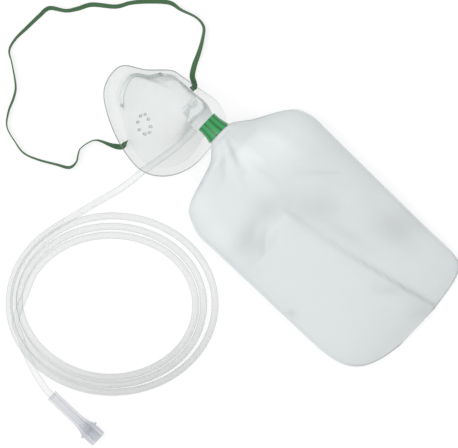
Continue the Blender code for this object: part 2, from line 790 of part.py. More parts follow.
def make_bag():
    """The film bag, open at the neck, as a thin shell."""
    bm = bmesh.new()
    loops = skin(bm, [bag_ring(row) for row in bag_rows()])
    bm.faces.new(loops[-1])
    mesh = mesh_from(bm, "reservoir_bag")
    bag = add_object("reservoir_bag", mesh, PARTS, FROSTED_FILM)
    film = bag.modifiers.new("Film", "SOLIDIFY")
    film.thickness = FILM
    film.offset = -1


def make_tube(name, line):
    """A length of tubing as a bevelled curve."""
    curve = bpy.data.curves.new(name, "CURVE")
    curve.dimensions = "3D"
    curve.bevel_depth = TUBE_RADIUS
    curve.bevel_resolution = 2
    curve.use_fill_caps = True
    run = curve.splines.new("POLY")
    run.points.add(len(line) - 1)
    for point, place in zip(run.points, line):
        point.co = (*place, 1)
    curve.materials.append(CLEAR_TUBE)
    made = bpy.data.objects.new(name, curve)
    PARTS.objects.link(made)


def cuff_end():
    """The outer end of the cuff, where the plain tubing starts."""
    return AXIS_X - BODY_RADIUS - cuff_gap() - CUFF_LENGTH


def cuff_gap():
    """The bare stretch of nipple between the body and the cuff."""
    return STOP_RADIUS - BODY_RADIUS + 2 * CLEARANCE


def make_cuff():
    """The wide soft end of the tubing on the nipple."""
    inner = NIPPLE_RADIUS * 1.0 + CLEARANCE
    outer = inner + CUFF_WALL
    throat = TUBE_RADIUS - CUFF_WALL
    profile = [
        (outer - CUFF_WALL * 0.3, CUFF_LENGTH),
        (outer, CUFF_LENGTH - CUFF_WALL * 0.3),
        (outer, CUFF_WALL),
        (TUBE_RADIUS + CUFF_WALL * 0.2, 0),
        (throat, 0),
        (throat, CUFF_LENGTH * 0.12),
        (inner, CUFF_LENGTH * 0.16),
        (inner, CUFF_LENGTH),
    ]
    place = along((cuff_end(), nipple_y(), AXIS_HEIGHT), (1, 0, 0))
    add_object("tubing_cuff", turned("tubing_cuff", profile, place, sides=28), PARTS, CLEAR_TUBE)


def coil_point(angle, inset, height):
    """A point of the coil's oval, so far inside its outer edge."""
    x = (COIL_HALF_LENGTH - inset) * math.cos(angle)
    y = (COIL_HALF_WIDTH - inset) * math.sin(angle)
    return (
        COIL_CENTRE[0] + x * math.cos(COIL_TURN) - y * math.sin(COIL_TURN),
        COIL_CENTRE[1] + x * math.sin(COIL_TURN) + y * math.cos(COIL_TURN),
        height,
    )


def make_coil():
    """The outer shape of the coil of tubing: an oval ring with rounded upper edges."""
    high = COIL_LAYERS * 2 * TUBE_RADIUS
    soft = TUBE_RADIUS
    section = [
        (0, soft), (0, high - soft), (soft * 0.3, high - soft * 0.3), (soft, high),
        (COIL_BAND - soft, high), (COIL_BAND - soft * 0.3, high - soft * 0.3),
        (COIL_BAND, high - soft), (COIL_BAND, soft), (COIL_BAND - soft * 0.5, 0), (soft * 0.5, 0),
    ]
    steps = 56
    rings = [
        [coil_point(2 * math.pi * k / steps, inset, z) for inset, z in section] for k in range(steps)
    ]
    add_object("tubing_coil", lofted("tubing_coil", rings, close_along=True), PARTS, CLEAR_TUBE)


# Routes of the tubing in mm, as they lie: over the mask's chin to the coil, and from the coil on
LEAD_ROUTE_MM = [
    (-45, 94.5, 28), (-69, 99.5, 14.5), (-83, 101.2, 8.4), (-98, 105, 4.8), (-116, 110.6, 3.4),
    (-127, 113.7, 3.2), (-135, 115.9, 3.2),
]
TAIL_ROUTE_MM = [(-270.9, 42.4, 3.6), (-273.2, 34, 4.6), (-274.9, 27, 6)]


def make_tubing():
    """The two stretches of tubing that lie outside the coil."""
    start = (cuff_end() - CLEARANCE, nipple_y(), AXIS_HEIGHT)
    straight = (start[0] - TUBE_RADIUS, nipple_y(), AXIS_HEIGHT)
    lead = [start, straight] + [tuple(v * MM for v in point) for point in LEAD_ROUTE_MM]
    make_tube("tubing_lead", [start, *even_line(smooth_line(lead[1:], 12), 26)])
    end_height = max(SLEEVE_RADIUS, SOCKET_RADIUS + RIB_HEIGHT)
    finish = (END_START[0], END_START[1] + CLEARANCE, end_height)
    before = (END_START[0], END_START[1] + TUBE_RADIUS * 1.5, end_height)
    tail = [tuple(v * MM for v in point) for point in TAIL_ROUTE_MM] + [before]
    make_tube("tubing_tail", [*even_line(smooth_line(tail, 12), 7), finish])


def make_end_connector():
    """The moulded connector: sleeve, flare with two wings, and the ribbed socket."""
    x, start = END_START
    height = max(SLEEVE_RADIUS, SOCKET_RADIUS + RIB_HEIGHT)
    flare_start = start - SLEEVE_LENGTH
    collar = flare_start - FLARE_LENGTH
    end = collar - SOCKET_LENGTH
    wall = CONNECTOR_WALL
    tube_seat = TUBE_RADIUS * 0.6
    profile = [
        (SLEEVE_RADIUS - wall * 0.5, start),
        (SLEEVE_RADIUS, start - wall * 0.5),
        (SLEEVE_RADIUS, flare_start),
        (SLEEVE_RADIUS + (SOCKET_RADIUS - SLEEVE_RADIUS) * 0.35, flare_start - FLARE_LENGTH * 0.5),
        (SOCKET_RADIUS, collar),
        (SOCKET_RADIUS, end + wall * 0.3),
        (SOCKET_RADIUS - wall * 0.3, end),
        (SOCKET_BORE_RADIUS, end),
        (SOCKET_BORE_RADIUS * 0.85, collar),
        (tube_seat, flare_start - FLARE_LENGTH * 0.5),
        (tube_seat, start),
    ]
    body = add_object(
        "end_connector", turned("end_connector", profile, along_y(x, height), sides=30), PARTS,
        LILAC_VINYL,
    )
    wing = block(
        "end_wings", Matrix.Translation((x, collar - WING_LENGTH / 2, height)),
        (2 * WING_REACH, WING_LENGTH, WING_THICKNESS),
    )
    combine(body, cutter("end_wings", wing), "UNION")
    rib_length = SOCKET_LENGTH - 2 * WING_LENGTH
    ribs = []
    for k in range(RIBS):
        angle = 2 * math.pi * (k + 0.5) / RIBS
        out = Vector((math.cos(angle), 0, math.sin(angle)))
        place = (
            Matrix.Translation(Vector((x, end + WING_LENGTH / 2 + rib_length / 2, height)) + out * SOCKET_RADIUS)
            @ Matrix.Rotation(-angle, 4, "Y")
        )
        ribs.append(block(f"rib_{k}", place, (2 * RIB_HEIGHT, rib_length, 2.4 * RIB_HEIGHT)))
    combine(body, cutter("socket_ribs", joined("socket_ribs", ribs)), "UNION")
    bore = rod(
        "socket_bore", (x, end - wall, height), (0, 1, 0), SOCKET_BORE_RADIUS, SOCKET_LENGTH + wall,
        sides=28,
    )
    combine(body, cutter("socket_bore", bore), "DIFFERENCE")


# The strap's route in mm as it lies, from slit to slit: x, y, and how far it stands on edge,
# from 0 (flat) to 90 degrees
STRAP_ROUTE_MM = [
    (-70.4, 137.3, 10), (-75.6, 149.5, 60), (-82, 154, 85), (-92, 156, 85), (-98, 153.5, 80),
    (-104, 150.2, 75), (-112, 151.5, 60), (-118, 162, 70), (-126.4, 177.5, 75), (-131, 191, 80),
    (-129, 204, 88), (-124, 219, 88), (-112.7, 227.6, 80), (-101, 232.5, 75), (-91, 239, 80),
    (-78.2, 255.8, 88), (-71.5, 265.5, 80), (-60, 268.8, 60), (-44.3, 268.2, 35), (-29.1, 267.4, 30),
    (-17.5, 265.6, 45), (-9, 253, 55), (0, 246.2, 45), (12, 239, 40), (25.3, 222.1, 45),
    (37.5, 214.2, 50), (50, 203, 55), (62, 188.5, 70), (64.5, 176, 85), (69, 161, 75),
    (67.3, 150, 65), (58, 142.8, 55), (46, 136.5, 35), (35, 130.5, 15), (27.6, 125, 5),
]


# The strap at a slit in mm: out of the mask from the slit's middle, towards the nose, height, and
# degrees on edge. It comes in under the lifted rim and turns up through the slit.
STRAP_LOW_MM = (STRAP_LIFT + STRAP_THICKNESS / 2) / MM
STRAP_ENTRY_MM = [
    (5.6, 2.6, STRAP_LOW_MM, 0), (4.0, 1.1, STRAP_LOW_MM, 0), (2.8, 0.35, STRAP_LOW_MM, 0),
    (1.9, 0.05, 0.72, 0),
    (1.2, 0, 0.78, 0), (0.65, 0, 0.98, 0), (0.25, 0, 1.4, 0), (0.05, 0, 2.0, 0), (0, 0, 2.8, 0),
]
RIGHT_TAIL_MM = [(-0.1, 0, 4.2, 0), (-0.5, 0, 6.0, 0), (-1.2, 0, 8.0, 0), (-2.0, 0, 9.8, 0)]
LEFT_TAIL_MM = [
    (-0.15, 0, 3.8, 0), (-0.7, 0, 4.9, 15), (-1.6, 0.2, 5.6, 40), (-2.8, 0.5, 6.1, 65),
    (-4.0, 0.8, 6.35, 80), (-5.4, 1.0, 6.6, 88),
]


def strap_end(ear, tail, nose_side):
    """Rows x, y, z, roll from just outside the rim to the tail's end at one slit."""
    place = slit_place(ear)
    rows = []
    for out, nose, height, roll in STRAP_ENTRY_MM + tail:
        spot = place @ Vector((out * MM, nose * nose_side * MM, 0))
        rows.append((spot.x, spot.y, height * MM, roll))
    return rows


def strap_line(steps=3):
    """Rows x, y, z, roll along the whole strap, from the left tail's end to the right one's."""
    right = strap_end(EAR_BEARINGS[0], RIGHT_TAIL_MM, 1)
    left = strap_end(EAR_BEARINGS[1], LEFT_TAIL_MM, -1)[::-1]
    route = []
    for x, y, roll in STRAP_ROUTE_MM:
        lean = math.radians(roll)
        height = STRAP_LIFT + (STRAP_WIDTH * math.sin(lean) + STRAP_THICKNESS * math.cos(lean)) / 2
        route.append((x * MM, y * MM, height, roll))
    # The spline's scale for the roll is that of a metre, so that it follows the places
    between = np.array([left[-2], left[-1], *route, right[0], right[1]]) * (1, 1, 1, MM)
    line = smooth_line(between, steps)[steps:-steps] * (1, 1, 1, 1 / MM)
    return np.vstack([left[:-1], line, right[1:]])


def strap_frames():
    """Points along the strap, with the direction of its width at each."""
    line = strap_line()
    frames = []
    level = None
    for i, (*place, roll) in enumerate(line):
        before, after = line[max(i - 1, 0)][:3], line[min(i + 1, len(line) - 1)][:3]
        run = Vector(after - before).normalized()
        flat = Vector((0, 0, 1)).cross(run)
        if flat.length > 0.35 or level is None:
            level = flat.normalized()
        level = (level - run * level.dot(run)).normalized()
        lean = math.radians(roll)
        frames.append((Vector(place), run, level * math.cos(lean) + run.cross(level) * math.sin(lean)))
    return frames


def make_strap():
    """The flat elastic strap, from its tail in one slit round to its tail in the other."""
    rings = []
    for point, run, wide in strap_frames():
        thick = wide.cross(run).normalized() * STRAP_THICKNESS / 2
        side = wide.normalized() * STRAP_WIDTH / 2
        rings.append(
            [
                point - side, point - side * 0.9 - thick, point + side * 0.9 - thick,
                point + side, point + side * 0.9 + thick, point - side * 0.9 + thick,
            ]
        )
    add_object("head_strap", lofted("head_strap", rings), PARTS, STRAP_GREEN)


clear_scene()
PARTS = collection("oxygen_face_mask")
CUTTERS = collection("oxygen_face_mask_cutters")
CLEAR_VINYL = material("clear_vinyl", (0.86, 0.89, 0.89), 0.25, alpha=0.35)
CLEAR_RIGID = material("clear_rigid_plastic", (0.80, 0.86, 0.90), 0.12, alpha=0.45)
CLEAR_TUBE = material("clear_tubing", (0.88, 0.90, 0.90), 0.2, alpha=0.5)
FROSTED_FILM = material("frosted_film", (0.80, 0.82, 0.83), 0.45, alpha=0.7)
LILAC_VINYL = material("lilac_vinyl", (0.70, 0.70, 0.80), 0.3, alpha=0.6)
SILICONE = material("silicone", (0.85, 0.85, 0.85), 0.5, alpha=0.8)
DULL_ALUMINIUM = material("dull_aluminium", (0.50, 0.53, 0.52), 0.5, metallic=1.0)
RING_GREEN = material("ring_green", (0.01, 0.35, 0.08), 0.3)
STRAP_GREEN = material("strap_green", (0.02, 0.18, 0.07), 0.8)

make_mask()
make_nose_clip()
make_connector()
make_leaflet()
make_ring()
make_bag()
make_cuff()
make_tubing()
make_coil()
make_end_connector()
make_strap()
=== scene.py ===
"""Looks of an oxygen face mask set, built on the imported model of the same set.

Operators build the stage, the tubing, the strap, the mask, the nose clip, the valve and the bag.
Sizes are in metres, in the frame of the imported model, and names that end in _MM hold millimetres.
"""

import math

import bmesh
import bpy
import numpy as np
from bpy.props import FloatProperty, FloatVectorProperty, IntProperty, PointerProperty
from bpy.types import Operator, Panel, PropertyGroup
from mathutils import Matrix, Vector
from mathutils.kdtree import KDTree


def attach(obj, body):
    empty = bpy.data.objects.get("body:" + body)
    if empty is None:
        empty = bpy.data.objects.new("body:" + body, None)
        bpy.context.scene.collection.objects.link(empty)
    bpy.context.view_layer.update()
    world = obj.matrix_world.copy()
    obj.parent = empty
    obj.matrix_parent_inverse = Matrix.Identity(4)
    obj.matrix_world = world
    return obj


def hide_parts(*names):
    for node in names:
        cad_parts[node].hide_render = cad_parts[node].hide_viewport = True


bl_info = {
    "name": "Oxygen face mask set",
    "version": (1, 0, 0),
    "blender": (4, 5, 0),
    "location": "3D View > Sidebar > Oxygen mask",
    "description": "Builds the mask, bag, tubing and strap of an oxygen set, with their finishes",
    "category": "Object",
}

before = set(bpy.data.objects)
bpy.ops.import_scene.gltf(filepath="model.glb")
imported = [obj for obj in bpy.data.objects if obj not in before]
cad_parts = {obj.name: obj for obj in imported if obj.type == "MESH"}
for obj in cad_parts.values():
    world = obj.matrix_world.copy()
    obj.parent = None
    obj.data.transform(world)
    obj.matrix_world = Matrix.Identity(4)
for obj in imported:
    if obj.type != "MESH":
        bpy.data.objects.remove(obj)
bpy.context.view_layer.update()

MM = 0.001
TURN = 2 * math.pi
CLEARANCE = 0.3 * MM

# The photograph's middle on the surface, the turn of its right-hand direction, and its width
VIEW_CENTRE = (-48.95 * MM, 8.5 * MM)
VIEW_TURN = math.radians(-46.74)
VIEW_WIDTH = 458 * 0.92 * MM
# The height above the surface at which the width is right, and the camera's sensor
VIEW_LEVEL = 10 * MM
SENSOR_MM = 36.0
VIEW_REACH = 50.0
# The place and width of each lamp
LARGE_LAMP = ((-0.95, 1.1, 1.5), 1.3)
SMALL_LAMP = ((1.0, -1.1, 1.6), 1.2)
# Half the floor's width, how far it lies below the set, and its grey where it is not looked at
FLOOR_HALF = 4.0
FLOOR_DROP = 0.4 * MM
FLOOR_GREY = 0.8

# Mask, in its own plan. The lists of eight go round it in even steps from its +X side.
MASK_WALL = 1.2 * MM
MASK_TURN = math.radians(-9.85)
MASK_CENTRE = (-22.3 * MM, 122.625 * MM)
MASK_COLUMNS = 180
RIM_OUTLINE_MM = [
    (0, 60), (-23, 53), (-36, 31), (-43.5, 0), (-42, -29), (-27, -47), (-3, -54.5), (24, -50),
    (46, -42), (52.5, -22), (45.5, 2), (40.5, 18.5), (35.5, 29), (17, 43.5),
]
LIP_HEIGHT = 1.6 * MM
LIP_WIDTH = 1.1 * MM
FOOT_RISE = 2.2 * MM
FOOT_END = 0.07
WALL_ROWS = 40
SNOUT_TOP = (26 * MM, -6 * MM, 56.5 * MM)
FLANGE_WIDTHS = [v * MM for v in (6.5, 4.5, 10, 13, 8.5, 8, 8, 12)]
SNOUT_REACHES = [v * MM for v in (15, 17, 20, 21, 24, 22, 14, 18)]
KNEE_SHARES = [0, 0.1, 0.3, 0.35, 0.25, 0.7, 1.45, 1.35]
KNEE_HEIGHTS = [v * MM for v in (26, 22, 16, 15, 16, 15, 13, 14)]
EAR_BEARINGS = (math.radians(4), math.radians(181))
EAR_LIFT = 2.4 * MM
EAR_SPREAD = math.radians(22)
SLIT_INSET = 3.0 * MM
SLIT_SIZE = (2.2 * MM, 6.6 * MM, 6 * MASK_WALL)
EXHALE_BEARINGS = (math.radians(12), math.radians(168))
EXHALE_SHARE = 0.40
EXHALE_CIRCLE_RADIUS = 9.2 * MM
EXHALE_HOLES = 8
CLIP_BEARINGS = (math.radians(48), math.radians(132))
CLIP_SHARE_END = 0.10
CLIP_SHARE_MIDDLE = 0.14
CLIP_LEAN = 0.75
CLIP_GAP = 0.7 * MM
PEG_INSET = 3.0 * MM
# The clip's section in half widths and thicknesses, its length and the radius of its ends
CLIP_SECTION = [
    (-0.86, 0), (0.86, 0), (0.97, 0.12), (1, 0.5), (0.97, 0.88), (0.86, 1), (0.4, 0.97),
    (0, 0.94), (-0.4, 0.97), (-0.86, 1), (-0.97, 0.88), (-1, 0.5), (-0.97, 0.12),
]
CLIP_LENGTH_MM = 40
CLIP_END_RADIUS = 2.0 * MM
# Where the vinyl counts as flange, as bead, as steep wall, as collar and as the edge of a hole
FLANGE_TOP, BEAD_WIDTH = 8 * MM, 0.8 * MM
STEEP_TOP, STEEP_HALF, STEEP_FALL = 28 * MM, 1.0, 1.8
COLLAR_EDGE, COLLAR_ROUND = 1 * MM, 12 * MM
HOLE_EDGE_RADIUS, HOLE_EDGE_REACH = 1.35 * MM, 4 * MM
# How dense its vinyl looks: at the rim's bead and on the flange, and how much less towards one
# side; how much more on the steep wall; on the collar; at left and right holes. Above 1 the vinyl
# also darkens: painted shade for the dark lines of thick or slanting vinyl
BEAD_DENSITY, BEAD_FAINTER = 4.6, 3.9
FLANGE_DENSITY, FLANGE_FAINTER = 0.8, 0.5
FAINT_BEARING = math.radians(-38)
STEEP_DENSITY_AND_SHADE = 1.5
STEEP_BEARING = math.radians(5)
COLLAR_DENSITY = 0.42
HOLE_DENSITIES = (3.6, 1.3)

# Connector
AXIS_X = 5.0 * MM
AXIS_HEIGHT = 36.0 * MM
PORT_FACE_Y = 96.0 * MM
COLLAR_DEPTH = 13.0 * MM
SPIGOT_RADIUS = 9.7 * MM
SPIGOT_LENGTH = 16.0 * MM
SPIGOT_TAPER = 2.6 * MM
CONNECTOR_WALL = 1.6 * MM
STOP_RADIUS = 11.6 * MM
STOP_THICKNESS = 1.2 * MM
BODY_RADIUS = 10.2 * MM
BODY_LENGTH = 7.4 * MM
TAIL_RADIUS = 8.2 * MM
TAIL_LENGTH = 21.3 * MM
NIPPLE_RADIUS = 2.5 * MM
NIPPLE_LENGTH = 13.0 * MM
SEAT_THICKNESS = 1.4 * MM
SEAT_DEPTH = 2.6 * MM
HUB_RADIUS = 2.6 * MM
SPOKE_WIDTH = 1.3 * MM
NIPPLE_BORE = 1.4 * MM
LEAFLET_THICKNESS = 0.6 * MM
RING_LENGTH = 16.0 * MM
RING_FLARE = 2.2 * MM
RING_CURVE = 2.6
RING_SWELL = 0.25 * MM
RING_WAIST = 0.12 * MM
# Where the connector's body steps down to its tail, the middle of its nipple, and the ring's start
BODY_END_Y = PORT_FACE_Y - CLEARANCE - BODY_LENGTH
NIPPLE_Y = BODY_END_Y + (BODY_LENGTH - STOP_THICKNESS) / 2
RING_START_Y = BODY_END_Y - 2 * CLEARANCE

# Tubing: from the cuff to the coil, the coil, and the tail to the end connector
CUFF_LENGTH = 15.5 * MM
CUFF_END_X = AXIS_X - STOP_RADIUS - 2 * CLEARANCE - CUFF_LENGTH
CUFF_WALL = 1.5 * MM
TUBING_POINTS = 640
# Height of the tubing's middle where it lies on the surface
LYING_HEIGHT_MM = 3.2
# How dense the cuff, the bore and the stretches outside the coil look, and the shares of the
# length between which the coil lies
CUFF_DENSITY = 0.7
BORE_DENSITY = 0.3
ALONE_DENSITY = 0.8
COIL_SHARES = (0.075, 0.96)
# The direction that sets which of the coil's turns get denser, with painted shade, and how far from
# its middle
SHADED_WAY = (0.45, 0.89)
SHADED_REACH = 90 * MM
LEAD_MM = [
    (-45, 94.3, 28.5), (-57, 97, 21), (-69, 99.5, 14.8), (-83, 101.4, 8.6), (-98, 104.8, 4.9),
    (-116.3, 110.4, 3.4), (-132.6, 115.2, 3.2), (-148.5, 119.5, 3.2),
]
COIL_CENTRE = (-176.5 * MM, 36.4 * MM)
COIL_LONG = 94.9 * MM
COIL_SHORT = 81.3 * MM
# Quarter turns from the left-hand side of the oval, distance inside its outermost line, height
COIL_TURNS_MM = [
    (-0.62, -2.4, 3.2), (-0.3, -0.9, 3.2), (0, 0, 3.2), (0.5, 0, 3.2), (1, 0, 3.2), (1.5, 0, 3.2),
    (2, 0, 3.2), (2.5, 0, 3.2), (3, 0, 3.2), (3.2, 0.6, 4.6), (3.4, 1.9, 7.5), (3.7, 3.3, 7.9),
    (4, 4.4, 7.7), (4.15, 5.3, 6.6), (4.3, 6.1, 4.8), (4.5, 6.6, 3.3), (5, 6.9, 3.2),
    (5.5, 8.6, 3.2), (6, 10.6, 3.2), (6.5, 10.4, 3.2), (7, 9.7, 3.2), (7.5, 9.3, 3.2),
    (8, 9.4, 3.2), (8.2, 11.6, 3.2), (8.4, 13, 3.2), (9, 13.8, 3.2), (9.5, 15.8, 3.2),
    (10, 17.9, 3.2), (10.5, 18.2, 3.2), (11, 17.9, 3.2), (11.4, 16.8, 3.5), (11.7, 15.6, 5.4),
    (12, 14.4, 7.4),
]
TAIL_MM = [
    (-248.2, 90.5, 9.6), (-256, 77, 10.2), (-261.6, 66.5, 10), (-267, 54.8, 9.6),
    (-272, 41, 8.9), (-274.6, 30, 8.4),
]
END_START = (-275.6 * MM, 19.5 * MM)
END_HEIGHT = 8.3 * MM
END_SLEEVE_LENGTH = 35 * MM
END_FLARE_LENGTH = 11 * MM
END_SOCKET_LENGTH = 13.5 * MM
# How dense the end connector looks, by millimetres from its start
END_DENSITY = ([0, 30, 38, 45, 48.5, 50, 59], [1.0, 1.0, 1.5, 2.9, 2.9, 1.8, 1.7])

# Route of the strap: x, y and degrees on edge
STRAP_ROUTE_MM = [
    (-70.4, 137.3, 45), (-75.6, 149.5, 78), (-82, 154, 85), (-92, 156, 85), (-98, 153.5, 80),
    (-104, 150.2, 75), (-112, 151.5, 60), (-118, 162, 70), (-126.4, 177.5, 75), (-131, 191, 80),
    (-129, 204, 88), (-124, 219, 88), (-112.7, 227.6, 80), (-101, 232.5, 75), (-91, 239, 80),
    (-78.2, 255.8, 88), (-71.5, 265.5, 80), (-60, 268.8, 72), (-44.3, 268.2, 58),
    (-29.1, 267.4, 52), (-17.5, 265.6, 45), (-9, 253, 55), (0, 246.2, 45), (12, 239, 40),
    (25.3, 222.1, 45), (37.5, 214.2, 50), (50, 203, 38), (62, 188.5, 42), (64.5, 176, 66),
    (69, 161, 75), (67.3, 150, 65), (58, 142.8, 55), (46, 136.5, 35), (36.5, 132.4, 15),
    (27.7, 127.1, 5),
]
# Its ends, from outside the rim to the tail: outwards and noseways from the slit, height, roll
IN_SLIT_MM = [(1.2, 0, 0.78, 0), (0.65, 0, 0.98, 0), (0.25, 0, 1.4, 0), (0.05, 0, 2, 0),
              (0, 0, 2.8, 0)]
RIGHT_END_MM = [
    (4.2, 4.2, 0.7, 0), (3.3, 2.4, 0.7, 0), (2.5, 1, 0.7, 0), (1.8, 0.3, 0.72, 0), *IN_SLIT_MM,
    (-0.1, 0, 4.2, 0), (-0.5, 0, 6, 0), (-1.2, 0, 8, 0), (-2, 0, 9.8, 0),
]
LEFT_END_MM = [
    (5.6, 2.6, 0.7, 0), (4, 1.1, 0.7, 0), (2.8, 0.35, 0.7, 0), (1.9, 0.05, 0.72, 0), *IN_SLIT_MM,
    (-0.15, 0, 3.8, 0), (-0.7, 0, 4.9, 15), (-1.6, 0.2, 5.6, 40), (-2.8, 0.5, 6.1, 65),
    (-4, 0.8, 6.35, 80), (-5.4, 1, 6.6, 88),
]
STRAP_LIFT = 0.25 * MM
UPRIGHT_LIMIT = 0.35
# Half of the strap's section, in half widths and half thicknesses. The other half is its mirror.
STRAP_SECTION = [
    (-1, 0), (-0.97, -0.6), (-0.88, -1), (-0.45, -0.94), (0, -1), (0.45, -0.94), (0.88, -1),
    (0.97, -0.6),
]

BAG_FILM = 0.4 * MM
BAG_END_Y = -183.0 * MM
BAG_SIDES = 176
WELD_FILM = 0.3 * MM
BAG_LEAST_HEIGHT = 0.2 * MM
# Sections of the bag: share of its length, middle in mm, and shares of its half width, of its
# height to the underside and of its height to the top
BAG_SECTIONS = [
    (0.008, 6.5, 0.19, 0.62, 1.30), (0.026, 7.5, 0.26, 0.46, 1.29), (0.050, 7.0, 0.37, 0.28, 1.18),
    (0.071, 2.5, 0.55, 0.12, 1.07), (0.090, -1.5, 0.72, 0.03, 0.97), (0.112, -2.0, 0.84, 0, 0.93),
    (0.145, 0, 0.935, 0, 0.92), (0.20, 0, 1.0, 0, 0.95), (0.27, 0, 1.0, 0, 1.0),
    (0.34, -0.2, 0.996, 0, 1.0), (0.42, -0.4, 0.993, 0, 1.0), (0.50, -0.6, 0.990, 0, 0.98),
    (0.58, -0.8, 0.988, 0, 0.95), (0.66, -1.0, 0.985, 0, 0.90), (0.74, -1.2, 0.982, 0, 0.82),
    (0.81, -1.0, 0.978, 0, 0.72), (0.87, 0.2, 0.965, 0, 0.60), (0.914, 2.2, 0.93, 0, 0.47),
    (0.947, 4.5, 0.87, 0, 0.34), (0.970, 6.0, 0.77, 0, 0.22), (0.987, 5.0, 0.60, 0.01, 0.13),
    (1.0, 0, 0.32, 0.02, 0.07),
]
# Folds of the film: start, end, height and half width. A crease has a height below zero.
BAG_FOLDS_MM = [
    (-2, -24, 27, -181, -2.2, 3.4), (-14, -38, 8, -181, 2.0, 11), (18, -40, 46, -170, 1.0, 9),
    (5, -131, 22, -168, -1.2, 6), (-60, -19, -32, -12, -2.4, 8), (-60, -37, -33, -24, 1.2, 6),
    (-33, -24, -6, -27, 1.3, 6), (4, -20, 33, -51, -1.8, 8), (62, -80, 57, -130, -1.8, 11),
    (-3, -25, 6, 22, 1.4, 10), (6, 60, -3, 30, -1.3, 2.4), (-3, 57, -20, 40, -1.3, 3),
    (13, 58, 34, 30, -1.0, 5), (30, -6, 56, -33, -1.0, 3.5), (-74, -87, -64, -80, -1.0, 3),
    (1, 60, -16, 24, 1.0, 3.5), (10, 60, 16, 26, 1.0, 4), (20, 55, 48, 32, 0.8, 4),
]
# Edge of the flat panel in the bag's top, across its upper end and then down the long crease
PANEL_EDGE_MM = [
    (-90, -36), (-59, -35), (-46, -34), (-32.5, -22.5), (-21, -23.5), (-7, -21.5), (26.5, -183),
    (28, -200),
]
# Painted shade and painted light on the film, in patches: x, y, half widths, turn in degrees,
# strength, and 1 or -1 where the patch is cut off at the panel's edge and lies outside or inside it
BAG_SHADE_PATCHES_MM = [
    (-47, -19, 13, 18, -47, 0.85, 1), (14, -37, 23, 15, -47, 0.6, 1),
    (17, -76, 25, 7, -78, 0.45, 1), (56, -106, 23, 15, -47, 0.7, 0),
    (10, -142, 15, 5, -47, 0.4, -1), (15, -132.5, 62, 1.6, -77.2, 0.8, 0),
    (22, -163, 24, 2, -77.2, 0.5, 0), (-14, -8, 15, 12, -47, 0.6, 1),
    (14, -178, 13, 8, -47, 0.4, 0), (-40, -27, 17, 4, 40, 0.4, 1), (5, 52, 14, 15, 0, -0.55, 0),
    (42, 22, 20, 16, -47, -0.45, 0), (43, -20, 18, 1.8, -47, 0.4, 0),
    (-69.5, -89, 4, 3, -47, 0.7, 0), (5, 66.5, 8, 1.7, 0, 1, 0), (0, 49, 11, 2, 62, 0.7, 0),
    (7, 19, 13, 3, -85, 0.3, 0), (15, 38, 24, 22, -47, -0.62, 0), (-64, 9, 12, 16, 0, -0.35, 0),
    (-56, 41, 12, 12, 0, -0.3, 0), (46, 23, 5, 22, 11, 0.25, 0),
]

# How softly a patch of painted shade is cut off at the panel's edge
PATCH_EDGE_MM = 1.8
# The painted shadow line round the bag's far end: its strength, where it starts, how far along it
# comes in, and its width
END_SHADOW_DARK = 1.9
END_SHADOW_START_MM = -150
END_SHADOW_RISE_MM = 20
END_SHADOW_WIDTH_MM = 1.4

# Limits and units that settings share
LENGTH = {"min": 0.0002, "unit": "LENGTH"}
POWER = {"min": 0.0, "subtype": "POWER", "unit": "POWER"}
SHARE = {"min": 0.0, "max": 1.0, "subtype": "FACTOR"}
COLOUR = {"min": 0.0, "max": 1.0, "subtype": "COLOR", "size": 3}


class StageSettings(PropertyGroup):
    """Camera, floor and lamps"""

    camera_height: FloatProperty(
        name="Camera height", description="Height of the camera above the surface",
        default=3.2, min=1.0, unit="LENGTH",
    )
    key_power: FloatProperty(
        name="Large lamp", description="Power of the large soft lamp", default=15.0, **POWER)
    fill_power: FloatProperty(
        name="Small lamp", description="Power of the other lamp", default=4.0, **POWER)
    sky_level: FloatProperty(
        name="Even light", description="Level of the light from all round", default=0.9, **SHARE)
    floor_white: FloatProperty(
        name="Floor white", description="Share of the floor's white that is not lamp light",
        default=0.72, **SHARE)


class MaskSettings(PropertyGroup):
    """The soft shell and its nose clip"""

    wall: FloatProperty(
        name="Wall", description="Thickness of the shell", default=MASK_WALL, **LENGTH)
    hole_diameter: FloatProperty(
        name="Hole", description="Diameter of an exhalation hole", default=2.4 * MM, **LENGTH)
    film_colour: FloatVectorProperty(
        name="Vinyl", description="Body colour of the vinyl", default=(0.33, 0.40, 0.38), **COLOUR)
    film_opacity: FloatProperty(
        name="Opacity", description="Opacity of one face, seen straight on", default=0.15, **SHARE)
    clip_width: FloatProperty(
        name="Clip width", description="Width of the nose clip", default=4.2 * MM, **LENGTH)
    clip_thickness: FloatProperty(
        name="Clip thickness", description="Thickness of its strip", default=0.9 * MM, **LENGTH)
    clip_colour: FloatVectorProperty(
        name="Aluminium", description="Colour of its metal", default=(0.53, 0.57, 0.56), **COLOUR)


class ValveSettings(PropertyGroup):
    """The valve connector, its leaflet and the ring"""

    plastic_colour: FloatVectorProperty(
        name="Connector", description="Body colour of the clear connector",
        default=(0.62, 0.77, 0.82), **COLOUR)
    silicone_colour: FloatVectorProperty(
        name="Leaflet", description="Colour of the silicone", default=(0.62, 0.64, 0.64), **COLOUR)
    ring_colour: FloatVectorProperty(
        name="Ring", description="Colour of the ring", default=(0.02, 0.295, 0.078), **COLOUR)
    ring_wall: FloatProperty(
        name="Ring wall", description="Thickness of the ring", default=1.3 * MM, **LENGTH)


class BagSettings(PropertyGroup):
    """The reservoir bag"""

    width: FloatProperty(
        name="Width", description="Width of the bag, lying flat", default=152 * MM, **LENGTH)
    fill: FloatProperty(
        name="Height", description="Height of the bag as it lies", default=36 * MM, **LENGTH)
    weld: FloatProperty(
        name="Weld", description="Width of the welded edge", default=1.6 * MM, **LENGTH)
    film_colour: FloatVectorProperty(
        name="Film", description="Body colour of the frosted film",
        default=(0.76, 0.793, 0.804), **COLOUR)
    film_opacity: FloatProperty(
        name="Opacity", description="Opacity of one face, seen straight on", default=0.72, **SHARE)


